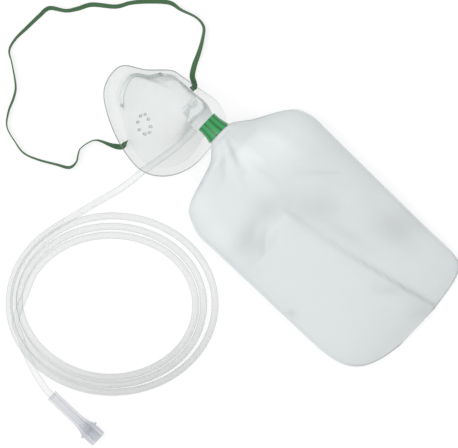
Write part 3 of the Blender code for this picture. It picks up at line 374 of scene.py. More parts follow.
class TubingSettings(PropertyGroup):
    """The oxygen tubing, its cuff and its end connector"""

    diameter: FloatProperty(
        name="Diameter", description="Outer diameter", default=6.3 * MM, **LENGTH)
    bore: FloatProperty(name="Bore", description="Inner diameter", default=3.4 * MM, **LENGTH)
    sides: IntProperty(
        name="Sides", description="Faces round the tubing", default=22, min=8, max=64)
    colour: FloatVectorProperty(
        name="Tubing", description="Body colour", default=(0.46, 0.50, 0.49), **COLOUR)
    opacity: FloatProperty(
        name="Opacity", description="Opacity of one face, seen straight on", default=0.108,
        **SHARE)
    end_colour: FloatVectorProperty(
        name="End connector", description="Its body colour", default=(0.43, 0.455, 0.51), **COLOUR)


class StrapSettings(PropertyGroup):
    """The elastic head strap"""

    width: FloatProperty(
        name="Width", description="Width of the strap", default=5.0 * MM, **LENGTH)
    thickness: FloatProperty(
        name="Thickness", description="Thickness of the strap", default=0.9 * MM, **LENGTH)
    colour: FloatVectorProperty(
        name="Strap", description="Colour of the elastic", default=(0.036, 0.108, 0.042), **COLOUR)


# Curves and surfaces


def spline(p0, p1, p2, p3, share):
    """A smooth value between p1 and p2."""
    return 0.5 * (
        2 * p1 + (p2 - p0) * share + (2 * p0 - 5 * p1 + 4 * p2 - p3) * share**2
        + (3 * p1 - p0 - 3 * p2 + p3) * share**3
    )


def smooth_line(points, steps, closed=False):
    """Points of a smooth curve through the given ones, with so many steps to each gap."""
    given = np.array(points, float)
    if closed:
        given = np.vstack([given[-1], given, given[:2]])
    else:
        given = np.vstack([2 * given[0] - given[1], given, 2 * given[-1] - given[-2]])
    line = [
        spline(*given[i : i + 4], step / steps)
        for i in range(len(given) - 3)
        for step in range(steps)
    ]
    return np.array(line if closed else [*line, given[-2]])


def smooth_at(places, values, wanted):
    """Smooth values through uneven knots, with no overshoot beyond them."""
    slopes = np.gradient(values, places)
    steps = np.diff(values)
    slopes[1:-1][steps[:-1] * steps[1:] <= 0] = 0
    i = np.clip(np.searchsorted(places, wanted, side="right") - 1, 0, len(places) - 2)
    gap = places[i + 1] - places[i]
    t = (wanted - places[i]) / gap
    return (
        values[i] * (1 + 2 * t) * (1 - t) ** 2 + values[i + 1] * t * t * (3 - 2 * t)
        + gap * (slopes[i] * t * (1 - t) ** 2 - slopes[i + 1] * t * t * (1 - t))
    )


def even_line(line, count):
    """The same line with evenly spaced points."""
    run = np.concatenate([[0], np.cumsum(np.linalg.norm(np.diff(line, axis=0), axis=1))])
    at = np.linspace(0, run[-1], count)
    return np.stack([np.interp(at, run, column) for column in line.T], axis=1)


def within(value, least=0.0, most=1.0):
    """The value, held between two limits."""
    return min(max(value, least), most)


def compass(bearing, values):
    """A smooth value at a bearing, from values set at even bearings."""
    at = bearing / TURN * len(values)
    first = math.floor(at)
    return spline(*[values[(first + k) % len(values)] for k in (-1, 0, 1, 2)], at - first)


def bm_to_mesh(bm, name, outwards=True):
    """Finish a bmesh. A closed one gets its normals turned out; an open one keeps its winding."""
    if outwards:
        bmesh.ops.recalc_face_normals(bm, faces=bm.faces)
    mesh = bpy.data.meshes.new(name)
    bm.to_mesh(mesh)
    bm.free()
    return mesh


def laid_grid(name, points, round_along=False, outwards=True):
    """Faces laid on rows of points, with even UVs. Each row closes on its start, and where asked
    the last row joins the first."""
    points = np.concatenate([points, points[:, :1]], axis=1)
    if round_along:
        points = np.concatenate([points, points[:1]])
    along, across = points.shape[0] - 1, points.shape[1] - 1
    bm = bmesh.new()
    bm.loops.layers.uv.new("Surface")
    bmesh.ops.create_grid(bm, x_segments=across, y_segments=along, size=0.5, calc_uvs=True)
    for vert in bm.verts:
        row, column = round((vert.co.y + 0.5) * along), round((vert.co.x + 0.5) * across)
        vert.co = points[row, column]
    bmesh.ops.remove_doubles(bm, verts=bm.verts, dist=1e-6)
    bmesh.ops.dissolve_degenerate(bm, edges=bm.edges, dist=1e-7)
    return bm_to_mesh(bm, name, outwards)


def capped_grid(name, rows):
    """A closed mesh on rows of points, with each end closed on its own middle."""
    rows = np.array(rows, float)
    first, last = (np.repeat(rows[i].mean(0)[None, None], rows.shape[1], 1) for i in (0, -1))
    return laid_grid(name, np.concatenate([first, rows, last]))


def hollow_tube(name, line, radii, sides):
    """A closed tube round a line, with its outer and inner radius, turning as little as it can."""
    runs = np.gradient(line, axis=0)
    runs /= np.linalg.norm(runs, axis=1)[:, None]
    side, across = np.cross((0, 0, 1), runs[0]), []
    for run in runs:
        side = side - run * side.dot(run)
        side = side / np.linalg.norm(side)
        across.append(side)
    across = np.array(across)
    angles = np.arange(sides) * TURN / sides
    spokes = (
        across[:, None] * np.cos(angles)[:, None]
        + np.cross(runs, across)[:, None] * np.sin(angles)[:, None]
    )
    outer, inner = (line[:, None] + spokes * radius for radius in radii)
    return laid_grid(name, np.concatenate([outer, inner[::-1]]), round_along=True)


def turned(name, profile, place, steps=72):
    """A mesh turned about its own Z axis from (radius, height) points, then put in place."""
    bm = bmesh.new()
    verts = [bm.verts.new((radius, 0, height)) for radius, height in profile]
    edges = [bm.edges.new(pair) for pair in zip(verts, verts[1:])]
    if profile[0][0] > 0:
        edges.append(bm.edges.new((verts[-1], verts[0])))
    bmesh.ops.spin(
        bm, geom=verts + edges, cent=(0, 0, 0), axis=(0, 0, 1), angle=TURN, steps=steps,
        use_merge=True,
    )
    bmesh.ops.remove_doubles(bm, verts=bm.verts, dist=1e-6)
    bmesh.ops.transform(bm, matrix=place, verts=bm.verts)
    return bm_to_mesh(bm, name)


def rounded(profile, steps=3, share=0.3, most=0.5 * MM):
    """The same profile with each inner corner cut into a small arc."""
    points = [np.array(point, float) for point in profile]
    made = [points[0]]
    for before, corner, after in zip(points, points[1:], points[2:]):
        back, on = before - corner, after - corner
        reach, ahead = np.linalg.norm(back), np.linalg.norm(on)
        cut = min(min(reach, ahead) * share, most)
        first, last = corner + back / reach * cut, corner + on / ahead * cut
        for t in np.arange(steps + 1) / steps:
            made.append(first * (1 - t) ** 2 + corner * 2 * t * (1 - t) + last * t**2)
    return [tuple(point) for point in [*made, points[-1]]]


def along(point, direction):
    """A placement at a point, with its own Z axis along a direction."""
    turn = Vector(direction).to_track_quat("Z", "Y")
    return Matrix.Translation(point) @ turn.to_matrix().to_4x4()


def along_y(x, z):
    """A placement whose own Z axis runs along +Y."""
    return Matrix.Translation((x, 0, z)) @ Matrix.Rotation(-math.pi / 2, 4, "X")


ON_AXIS = along_y(AXIS_X, AXIS_HEIGHT)


def rod(name, start, direction, radius, length, sides=24, end_radius=None):
    """A round bar from a point along a direction."""
    bm = bmesh.new()
    middle = Vector(start) + Vector(direction).normalized() * length / 2
    bmesh.ops.create_cone(
        bm, cap_ends=True, segments=sides, radius1=radius, radius2=end_radius or radius,
        depth=length, matrix=along(middle, direction),
    )
    return bm_to_mesh(bm, name)


def bar(name, place, size, edge=0.0):
    """A rectangular bar centred on a placement, with rounded edges."""
    bm = bmesh.new()
    bmesh.ops.create_cube(bm, size=1, matrix=Matrix.Diagonal((*size, 1)))
    if edge:
        bmesh.ops.bevel(
            bm, geom=bm.edges[:], offset=edge, affect="EDGES", segments=2, profile=0.5,
            material=-1,
        )
    bmesh.ops.transform(bm, matrix=place, verts=bm.verts)
    return bm_to_mesh(bm, name)


def joined(name, meshes):
    """Several separate meshes as one."""
    bm = bmesh.new()
    for mesh in meshes:
        bm.from_mesh(mesh)
    return bm_to_mesh(bm, name)


def new_object(name, data):
    """An object in the scene, for a mesh, a lamp or a camera."""
    made = bpy.data.objects.new(name, data)
    bpy.context.scene.collection.objects.link(made)
    return made


def settled(target, helpers=()):
    """The mesh of an object with its modifiers applied. The object and its helpers are removed."""
    graph = bpy.context.evaluated_depsgraph_get()
    graph.update()
    made = bpy.data.meshes.new_from_object(target.evaluated_get(graph), depsgraph=graph)
    for used in [target, *helpers]:
        bpy.data.objects.remove(used, do_unlink=True)
    return made


def carved(mesh, steps):
    """The mesh after each (operation, other mesh) has been joined to it or cut from it."""
    target = new_object("carving", mesh)
    helpers = [new_object("carving helper", other) for _, other in steps]
    for (operation, _), helper in zip(steps, helpers):
        modifier = target.modifiers.new(operation, "BOOLEAN")
        modifier.operation = operation
        modifier.object = helper
    return settled(target, helpers)


def thickened(mesh, wall):
    """A shell made inwards from a mesh."""
    target = new_object("thickening", mesh)
    modifier = target.modifiers.new("Wall", "SOLIDIFY")
    modifier.thickness = wall
    modifier.offset = -1
    return settled(target)


def set_values(mesh, name, value_at):
    """A number at every vertex, from its place, for a material to read by its name."""
    values = [value_at(vert.co) for vert in mesh.vertices]
    mesh.attributes.new(name, "FLOAT", "POINT").data.foreach_set("value", values)


# Shader nodes


class Signal:
    """What a node puts out. Sums of signals and numbers add Math nodes to the same tree."""

    def __init__(self, socket):
        self.socket = socket

    def math(self, operation, other=None, clamp=False):
        """What a Math node makes of this signal and, where it takes two, another or a number."""
        node = self.socket.id_data.nodes.new("ShaderNodeMath")
        node.operation, node.use_clamp = operation, clamp
        feed(node.inputs[0], self)
        feed(node.inputs[1], other)
        return Signal(node.outputs[0])

    def __add__(self, other):
        return self.math("ADD", other)

    def __sub__(self, other):
        return self.math("SUBTRACT", other)

    def __mul__(self, other):
        return self.math("MULTIPLY", other)

    def __pow__(self, other):
        return self.math("POWER", other)


def feed(socket, value):
    """Link a signal to a socket, or set the socket to a number, vector or colour."""
    if isinstance(value, Signal):
        socket.id_data.links.new(value.socket, socket)
    elif value is not None:
        socket.default_value = value


def outputs(tree, kind, *in_order, group=None, **by_name):
    """A new node's outputs. Values feed its sockets in order and by name, with _ for a space."""
    node = tree.nodes.new(kind)
    if group:
        node.node_tree = group
    for socket, value in zip(node.inputs, in_order):
        feed(socket, value)
    for name, value in by_name.items():
        feed(node.inputs[name.replace("_", " ")], value)
    return [Signal(socket) for socket in node.outputs]


def output(name, tree, kind, **by_name):
    """The output of that name of a new node."""
    return next(made for made in outputs(tree, kind, **by_name) if made.socket.name == name)


def attribute(tree, name):
    """A number that the mesh holds at its vertices."""
    node = tree.nodes.new("ShaderNodeAttribute")
    node.attribute_name = name
    return Signal(node.outputs["Fac"])


def use_group(tree, fill, **values):
    """The outputs of a group's node. The group is built once, by the function that it is named
    after, from its tree and a signal for each input to its outputs by name."""
    name = fill.__name__.replace("_", " ").capitalize()
    group = bpy.data.node_groups.get(name)
    if not group:
        group = bpy.data.node_groups.new(name, "ShaderNodeTree")
        for label in values:
            kind = "NodeSocketVector" if label == "Vector" else "NodeSocketFloat"
            group.interface.new_socket(label, in_out="INPUT", socket_type=kind)
        given = group.nodes.new("NodeGroupInput").outputs
        made = fill(group, *[Signal(given[label]) for label in values])
        for label in made:
            group.interface.new_socket(label, in_out="OUTPUT", socket_type="NodeSocketFloat")
        end = group.nodes.new("NodeGroupOutput").inputs
        for label, value in made.items():
            feed(end[label], value)
    return outputs(tree, "ShaderNodeGroup", group=group, **values)


def film_opacity(tree, facing, straight, edge, sharpness):
    """How solid a face of clear plastic looks: more near the edges, where it is seen slanting."""
    rise = facing**sharpness * (edge - straight).math("MAXIMUM", 0.0)
    return {"Opacity": straight.math("ADD", rise, clamp=True)}


def clouding(tree, vector, scale, low, high):
    """Soft clouds between two levels, as in moulded or stretched plastic."""
    noise = output(
        "Fac", tree, "ShaderNodeTexNoise", Vector=vector, Scale=scale, Detail=3.0, Roughness=0.55
    )
    level = outputs(
        tree, "ShaderNodeMapRange", Value=noise, From_Min=0.3, From_Max=0.7, To_Min=low,
        To_Max=high,
    )[0]
    return {"Level": level}


def grain(tree, vector, fine, ripple):
    """Fine grain as a height, with a longer ripple under it."""
    fine, ripple = (
        output("Fac", tree, "ShaderNodeTexNoise", Vector=vector, Scale=scale, Detail=2.0) * weight
        for scale, weight in ((fine, 0.35), (ripple, 0.65))
    )
    return {"Height": fine + ripple}


def knit(tree, vector, ribs, stitches):
    """Ribs and stitches of an elastic band, from its UVs, as a height and a painted shade that is
    darker in their grooves.
    """
    x, y, _ = outputs(tree, "ShaderNodeSeparateXYZ", Vector=vector)
    across = x * ribs
    rib = (across * math.pi).math("SINE").math("ABSOLUTE")
    run = y * stitches + across.math("FRACT") * 0.5
    stitch = (run * math.pi).math("SINE").math("ABSOLUTE")
    height = rib * (stitch * 0.5 + 0.5)
    return {"Shade": height * 0.6 + 0.4, "Height": height}


def clouds(tree, place, scale, low=0.0, high=1.0):
    """Soft clouds between two levels, at a place."""
    return use_group(tree, clouding, Vector=place, Scale=scale, Low=low, High=high)[0]


def blended(factor, first, second):
    """A colour between two, by a mask."""
    mix = factor.socket.id_data.nodes.new("ShaderNodeMix")
    mix.data_type = "RGBA"
    sockets = {socket.identifier: socket for socket in [*mix.inputs, *mix.outputs]}
    for label, value in (("Factor_Float", factor), ("A_Color", first), ("B_Color", second)):
        feed(sockets[label], value)
    return Signal(sockets["Result_Color"])


def shade_of(colour, share):
    """A colour made darker or lighter by a share."""
    return (*(within(channel * share) for channel in colour), 1.0)


def bumped(sockets, height, distance):
    """Feed a height to the shader's normal."""
    tree = height.socket.id_data
    feed(sockets["Normal"], outputs(tree, "ShaderNodeBump", Height=height, Distance=distance)[0])


def roughened(tree, sockets, place, relief, scale, low, high):
    """Fine grain of that height, and roughness that varies softly between two levels."""
    bumped(sockets, use_group(tree, grain, Vector=place, Fine=1500.0, Ripple=120.0)[0], relief)
    feed(sockets["Roughness"], clouds(tree, place, scale, low, high))


# Materials


def new_material(name, **plain):
    """A Principled material with the finish's plain numbers set on its own sockets: the material,
    its tree and those sockets."""
    made = bpy.data.materials.new(name)
    made.use_nodes = True
    sockets = made.node_tree.nodes["Principled BSDF"].inputs
    for label, value in plain.items():
        sockets[label.replace("_", " ")].default_value = value
    return made, made.node_tree, sockets


def clear_plastic(name, colour, opacity, roughness, ior=1.5, cloud=28.0, spread=0.12, dense=False,
                  shade_gain=0.4, with_painted_shade=False, edge=0.9, sharpness=4.0, dark_edge=0.6,
                  relief=0.02 * MM):
    """A see-through plastic: clouded colour, fine grain, more solid at its edges, and darker there
    by painted shade where it is seen slanting.

    Where it is dense, the attribute "dense" makes it more or less solid from place to place, and
    above 1 darkens it by the given gain, a painted shade as of the dark line at a thick edge. Where
    it is tinted, a second attribute paints shade into its colour above zero and light below.
    """
    material, tree, sockets = new_material(name, Roughness=roughness, IOR=ior)
    place = output("Object", tree, "ShaderNodeTexCoord")
    level = clouds(tree, place, cloud)
    body = blended(level, shade_of(colour, 1 - spread / 2), shade_of(colour, 1 + spread / 2))
    if with_painted_shade:
        # A painted shade of zero gives the colour itself, a third of the way from the lighter to
        # the darker
        shade = attribute(tree, "painted_shade_and_light") * 0.23 + level * spread
        shade = shade.math("ADD", 1 / 3 - spread / 2, clamp=True)
        body = blended(shade, shade_of(colour, 1.25), shade_of(colour, 0.5))
    facing = output("Facing", tree, "ShaderNodeLayerWeight", Blend=0.5)
    # Painted shade: the colour darkens where the face is seen slanting, in place of the dark edges
    # that refraction gives
    painted_edge_shade = facing**sharpness
    straight = (level * spread + (1 - spread / 2)) * opacity
    if dense:
        mask = attribute(tree, "dense")
        straight = straight * mask
        # Above 1 the attribute also paints shade, as of the dark line at a thick edge
        painted_edge_shade = painted_edge_shade.math("MAXIMUM", (mask - 1.0).math("MULTIPLY", shade_gain, clamp=True))
        edge = mask.math("MINIMUM", 1.0) * edge
    film = use_group(
        tree, film_opacity, Facing=facing, Straight=straight.math("MINIMUM", 0.97), Edge=edge,
        Sharpness=sharpness,
    )
    feed(sockets["Alpha"], film[0])
    feed(sockets["Base Color"], blended(painted_edge_shade, body, shade_of(colour, dark_edge)))
    roughened(
        tree, sockets, place, relief, cloud * 4, roughness * 0.8, min(roughness * 1.25, 1.0)
    )
    return material


def reflection_banded_plastic(name, colour, roughness, reflection_bands):
    """A coloured plastic with faint clouds and grain, and with painted bands along the valve's
    axis: dark lines between lighter bands that stand in for reflections.
    """
    material, tree, sockets = new_material(name, Roughness=roughness)
    place = output("Object", tree, "ShaderNodeTexCoord")
    body = blended(clouds(tree, place, 90.0), shade_of(colour, 0.95), shade_of(colour, 1.05))
    x, _, z = outputs(tree, "ShaderNodeSeparateXYZ", Vector=place)
    angle = (z - AXIS_HEIGHT).math("ARCTAN2", x - AXIS_X)
    # Painted reflections: dark lines round the axis leave lighter bands between them, as highlights
    # would
    reflection_wave = (angle * reflection_bands).math("SINE") * 0.5 + 0.5
    feed(sockets["Base Color"], blended(reflection_wave**2.5, body, shade_of(colour, 0.4)))
    roughened(tree, sockets, place, 0.02 * MM, 400.0, roughness * 0.75, roughness * 1.3)
    return material


def rolled_aluminium(name, colour):
    """Dull strip metal with fine rolling marks along it."""
    material, tree, sockets = new_material(name, Roughness=0.6, Metallic=1.0)
    place = outputs(
        tree, "ShaderNodeMapping", Vector=output("UV", tree, "ShaderNodeTexCoord"),
        Scale=(6.0, 0.6, 1.0),
    )[0]
    marks = clouds(tree, place, 14.0)
    feed(sockets["Base Color"], blended(marks, shade_of(colour, 0.8), shade_of(colour, 1.15)))
    feed(sockets["Roughness"], clouds(tree, place, 30.0, 0.5, 0.7))
    bumped(sockets, marks, 0.02 * MM)
    return material


def knitted_elastic(name, colour):
    """Ribbed elastic with a soft sheen."""
    material, tree, sockets = new_material(
        name, Roughness=0.8, Sheen_Weight=0.18, Sheen_Roughness=0.4
    )
    shade, height = use_group(
        tree, knit, Vector=output("UV", tree, "ShaderNodeTexCoord"), Ribs=16.0, Stitches=560.0
    )
    # Painted shade: the elastic's colour is darker in the grooves of its ribs and stitches
    feed(sockets["Base Color"], blended(shade, shade_of(colour, 0.62), shade_of(colour, 1.3)))
    bumped(sockets, height, 0.12 * MM)
    return material


def add_piece(name, mesh, material, replaces=(), smooth_to=40):
    """An object for a finished mesh, riding on the set, and standing for the nodes it replaces."""
    made = new_object(name, mesh)
    mesh.materials.clear()
    mesh.materials.append(material)
    mesh.shade_smooth()
    mesh.set_sharp_from_angle(angle=math.radians(smooth_to))
    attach(made, "root")
    if replaces:
        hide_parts(*replaces)
    return made


# The mask's shape


def rim_radius_table():
    """Bearings and radii of the rim's outline, for interpolation."""
    line = smooth_line(np.array(RIM_OUTLINE_MM) * MM, 20, closed=True)
    bearings = np.mod(np.arctan2(line[:, 1], line[:, 0]), TURN)
    order = np.argsort(bearings)
    return bearings[order], np.linalg.norm(line, axis=1)[order]


RIM_BEARINGS, RIM_RADII = rim_radius_table()
MASK_PLACE = Matrix.Translation((*MASK_CENTRE, 0)) @ Matrix.Rotation(MASK_TURN, 4, "Z")


def rim_radius(bearing):
    """The rim's distance from the mask's centre."""
    return float(np.interp(bearing % TURN, RIM_BEARINGS, RIM_RADII, period=TURN))


def in_mask(bearing, radius, height):
    """A point of the mask's plan, in the set's frame."""
    return MASK_PLACE @ Vector((radius * math.cos(bearing), radius * math.sin(bearing), height))


def ear_lift(bearing):
    """How far the rim is lifted at a bearing, for the ears that carry the strap."""
    offs = [abs(math.remainder(bearing - ear, TURN)) / EAR_SPREAD for ear in EAR_BEARINGS]
    return sum(EAR_LIFT * math.cos(off * math.pi / 2) ** 2 for off in offs if off < 1)


def wall_point(bearing, share):
    """The outer face of the wall: share 0 is its foot and share 1 the top of the snout."""
    out, top = Vector((math.cos(bearing), math.sin(bearing), 0)), Vector(SNOUT_TOP)
    foot = out * (rim_radius(bearing) - compass(bearing, FLANGE_WIDTHS))
    foot.z = MASK_WALL + FOOT_RISE
    crown = top + out * compass(bearing, SNOUT_REACHES)
    knee = foot.lerp(crown, compass(bearing, KNEE_SHARES))
    knee.z = compass(bearing, KNEE_HEIGHTS)
    rest = 1 - share
    return MASK_PLACE @ (
        foot * rest**3 + knee * 3 * rest**2 * share + crown * 3 * rest * share**2 + top * share**3
    )


def wall_frame(bearing, share):
    """A point of the wall, its outward normal, and the level direction along the wall."""
    step = 0.01
    level = (wall_point(bearing + step, share) - wall_point(bearing - step, share)).normalized()
    rise = wall_point(bearing, share + step) - wall_point(bearing, max(share - step, 0))
    return wall_point(bearing, share), level.cross(rise.normalized()).normalized(), level


def mask_profile(bearing):
    """The outer face at a bearing, from the lip at the rim to the top of the snout."""
    # Share of the way over the flange, further distance from the rim, height over the wall
    rows = [
        (0, 0, LIP_HEIGHT), (0, LIP_WIDTH * 0.45, LIP_HEIGHT * 0.45),
        (0, LIP_WIDTH * 1.5, LIP_HEIGHT * 0.05), (0.5, 0, FOOT_RISE * 0.12),
    ]
    corners = []
    for share, inset, rise in rows:
        edge = rim_radius(bearing) - MASK_WALL * 0.9 * (1 - share)
        radius = edge - inset - share * compass(bearing, FLANGE_WIDTHS)
        corners.append(in_mask(bearing, radius, MASK_WALL + rise + ear_lift(bearing) * (1 - share)))
    corners += [wall_point(bearing, 0), wall_point(bearing, FOOT_END)]
    foot = rounded(corners, steps=4, share=0.45, most=3 * MM)
    # The rows of the wall lie closer together near its foot
    shares = FOOT_END + (1 - FOOT_END) * (np.arange(1, WALL_ROWS + 1) / WALL_ROWS) ** 1.1
    return foot + [tuple(wall_point(bearing, float(share))) for share in shares]


def mask_shell_mesh(wall, hole_radius):
    """The soft shell with its collar, strap slits and exhalation holes."""
    profiles = np.array([mask_profile(k * TURN / MASK_COLUMNS) for k in range(MASK_COLUMNS)])
    rows = profiles.transpose(1, 0, 2)
    # The top of the snout is one point, which the rows close on
    rows[-1] = rows[-1].mean(0)
    shell = thickened(laid_grid("mask skin", rows, outwards=False), wall)
    lowest = min(vert.co.z for vert in shell.vertices)
    shell.transform(Matrix.Translation((0, 0, -lowest)))
    slits = [bar("slit", slit_place(ear), SLIT_SIZE, edge=0.5 * MM) for ear in EAR_BEARINGS]
    holes = [
        rod("hole", place - normal * 6 * MM, normal, hole_radius, 12 * MM, sides=20)
        for place, normal in HOLE_PLACES
    ]
    collar = port_cone("collar", 0.0, COLLAR_DEPTH, MASK_WALL)
    bore = port_cone("bore", -STOP_THICKNESS, SPIGOT_LENGTH + STOP_THICKNESS, 0.0)
    return carved(
        shell,
        [("UNION", collar), ("DIFFERENCE", joined("slits", slits)),
         ("DIFFERENCE", joined("holes", holes)), ("DIFFERENCE", bore)],
    )


def mask_density(point):
    """How dense the vinyl looks at a place: most at the bead of the rim, at the holes' edges and on
    the steep wall on the right, where it is painted darker as the shade of thick or slanting vinyl,
    and least on the collar, where many layers lie over each other."""
    plan = MASK_PLACE.inverted() @ point
    bearing = math.atan2(plan.y, plan.x)
    inside = rim_radius(bearing) - math.hypot(plan.x, plan.y)
    density = 1.0
    if inside < compass(bearing, FLANGE_WIDTHS) and point.z < FLANGE_TOP:
        # Towards one side the bead's painted shade and the flange's density are fainter
        thin = max(math.cos(bearing - FAINT_BEARING), 0.0) ** 2
        density = FLANGE_DENSITY - FLANGE_FAINTER * thin
        if inside < BEAD_WIDTH:
            density = BEAD_DENSITY - BEAD_FAINTER * thin
    elif point.z < STEEP_TOP and abs(bearing) < STEEP_HALF:
        density += STEEP_DENSITY_AND_SHADE * max(math.cos((bearing - STEEP_BEARING) * STEEP_FALL), 0.0)
    deep = point.y - PORT_FACE_Y
    from_axis = math.hypot(point.x - AXIS_X, point.z - AXIS_HEIGHT)
    if -COLLAR_EDGE < deep < COLLAR_DEPTH + COLLAR_EDGE and from_axis < COLLAR_ROUND:
        density = COLLAR_DENSITY
    for centre, normal in HOLE_PLACES:
        off = point - centre
        aside = (off - normal * off.dot(normal)).length
        if aside < HOLE_EDGE_RADIUS and off.length < HOLE_EDGE_REACH:
            density = HOLE_DENSITIES[centre.x >= MASK_CENTRE[0]]
    return density


def exhale_places():
    """The middle of each exhalation hole on the wall, and the wall's normal there."""
    places = []
    for bearing in EXHALE_BEARINGS:
        point, normal, level = wall_frame(bearing, EXHALE_SHARE)
        for k in range(EXHALE_HOLES):
            angle = TURN * (k + 0.5) / EXHALE_HOLES
            spoke = level * math.cos(angle) + normal.cross(level) * math.sin(angle)
            places.append((point + spoke * EXHALE_CIRCLE_RADIUS, normal))
    return places


HOLE_PLACES = exhale_places()


def slit_place(ear):
    """The middle of a strap slit, with its own X axis pointing out of the mask."""
    middle = in_mask(ear, rim_radius(ear) - SLIT_INSET, MASK_WALL / 2 + ear_lift(ear))
    return Matrix.Translation(middle) @ Matrix.Rotation(ear + MASK_TURN, 4, "Z")


def spigot_radius(depth):
    """The spigot's radius so far inside the port's face."""
    return SPIGOT_RADIUS - SPIGOT_TAPER * depth / SPIGOT_LENGTH


def port_cone(name, first, last, wall):
    """A cone round the spigot between two depths inside the port's face."""
    radius, end_radius = (spigot_radius(depth) + CLEARANCE + wall for depth in (first, last))
    start = (AXIS_X, PORT_FACE_Y + first, AXIS_HEIGHT)
    return rod(name, start, (0, 1, 0), radius, last - first, sides=72, end_radius=end_radius)


def clip_frames():
    """Points, normals and directions along the nose clip, from one cheek to the other."""
    step = TURN / 60
    first, last = (round(bearing / step) for bearing in CLIP_BEARINGS)
    rows = []
    for i in range(first, last + 1):
        rise = math.sin(math.pi * (i - first) / (last - first))
        share = CLIP_SHARE_END + (CLIP_SHARE_MIDDLE - CLIP_SHARE_END) * rise
        point, normal, _ = wall_frame(i * step, share)
        rows.append((*point, *normal))
    line = even_line(smooth_line(rows, 6), 90)
    return [
        (Vector(row[:3]), Vector(row[3:]).normalized(), Vector(run).normalized())
        for row, run in zip(line, np.gradient(line[:, :3], axis=0))
    ]


# The stage


class OXYGEN_OT_stage(Operator):
    """Make the camera at the photograph's angle, the white floor, the lamps and the even light"""

    bl_idname = "oxygen_set.stage"
    bl_label = "Stage"

    def execute(self, context):
        look = context.scene.oxygen_stage
        camera = new_object("camera", bpy.data.cameras.new("camera"))
        camera.location = (*VIEW_CENTRE, look.camera_height)
        camera.rotation_euler = (0, 0, VIEW_TURN)
        camera.data.sensor_width = SENSOR_MM
        camera.data.lens = SENSOR_MM * (look.camera_height - VIEW_LEVEL) / VIEW_WIDTH
        camera.data.clip_end = VIEW_REACH
        context.scene.camera = camera
        context.scene.view_settings.view_transform = "Standard"
        # The set has more clear layers behind each other than are followed as Blender comes
        context.scene.cycles.transparent_max_bounces = 40
        make_floor(look.floor_white)
        make_lamp("large lamp", look.key_power, *LARGE_LAMP)
        make_lamp("small lamp", look.fill_power, *SMALL_LAMP)
        make_sky(context.scene, look.sky_level)
        return {"FINISHED"}


def make_lamp(name, power, place, size):
    """A square soft lamp that points at the middle of the set."""
    lamp = bpy.data.lights.new(name, "AREA")
    lamp.energy = power
    lamp.size = size
    made = new_object(name, lamp)
    made.location = place
    aim = Vector((*VIEW_CENTRE, 0)) - Vector(place)
    made.rotation_euler = aim.to_track_quat("-Z", "Y").to_euler()
    made.visible_camera = False


def make_floor(white):
    """A white floor that keeps soft shadows."""
    bm = bmesh.new()
    bmesh.ops.create_grid(bm, x_segments=4, y_segments=4, size=FLOOR_HALF)
    bmesh.ops.translate(bm, verts=bm.verts, vec=(0, 0, -FLOOR_DROP))
    floor = new_object("floor", bm_to_mesh(bm, "floor", outwards=False))
    material = bpy.data.materials.new("white floor")
    material.use_nodes = True
    tree = material.node_tree
    tree.nodes.remove(tree.nodes["Principled BSDF"])
    [glow] = outputs(tree, "ShaderNodeEmission", Strength=white)
    thin, plain = (
        outputs(tree, "ShaderNodeBsdfDiffuse", Color=(level, level, level, 1.0))[0]
        for level in (1 - white, FLOOR_GREY)
    )
    [both] = outputs(tree, "ShaderNodeAddShader", glow, thin)
    [mix] = outputs(tree, "ShaderNodeMixShader", white_seen(tree), plain, both)
    feed(tree.nodes["Material Output"].inputs["Surface"], mix)
    floor.data.materials.append(material)


def make_sky(scene, level):
    """Even light from all round, and white where it is seen."""
    scene.world = bpy.data.worlds.new("even light")
    scene.world.use_nodes = True
    sky = scene.world.node_tree.nodes["Background"].inputs
    sky["Color"].default_value = (1, 1, 1, 1)
    feed(sky["Strength"], white_seen(scene.world.node_tree) * (1 - level) + level)


def white_seen(tree):
    """1 for a ray from the camera or off a glossy or clear surface, and 0 for other rays."""
    rays = {made.socket.name: made for made in outputs(tree, "ShaderNodeLightPath")}
    seen = rays["Is Camera Ray"] + rays["Is Glossy Ray"]
    return seen.math("ADD", rays["Is Transmission Ray"], clamp=True)


# The tubing


class OXYGEN_OT_tubing(Operator):
    """Make the oxygen tubing as one length, from the cuff over the chin and the coil to its end"""

    bl_idname = "oxygen_set.tubing"
    bl_label = "Tubing, cuff and end connector"

    def execute(self, context):
        look = context.scene.oxygen_tubing
        clear = clear_plastic(
            "clear tubing", look.colour, look.opacity, roughness=0.18, ior=1.9, cloud=60.0,
            spread=0.15, dense=True, edge=0.95, sharpness=2.6, dark_edge=0.2,
        )
        line = tubing_line()
        mesh = hollow_tube("tubing", line, (look.diameter / 2, look.bore / 2), look.sides)
        set_values(mesh, "dense", tubing_density(line, look))
        tubing = add_piece(
            "tubing", mesh, clear, ("tubing_lead", "tubing_coil", "tubing_tail")
        )
        sleeve = cuff_mesh(look)
        set_values(sleeve, "dense", lambda place: CUFF_DENSITY)
        cuff = add_piece("cuff", sleeve, clear, ("tubing_cuff",))
        lilac = clear_plastic(
            "lilac vinyl", look.end_colour, opacity=0.15, roughness=0.35, cloud=70.0, spread=0.2,
            dense=True, shade_gain=0.2, edge=0.55, sharpness=2.2, dark_edge=0.8,
        )
        body = end_mesh()
        set_values(
            body, "dense",
            lambda place: float(np.interp((END_START[1] - place.y) / MM, *END_DENSITY)),
        )
        end = add_piece("end_fitting", body, lilac, ("end_connector",), 30)
        return {"FINISHED"}


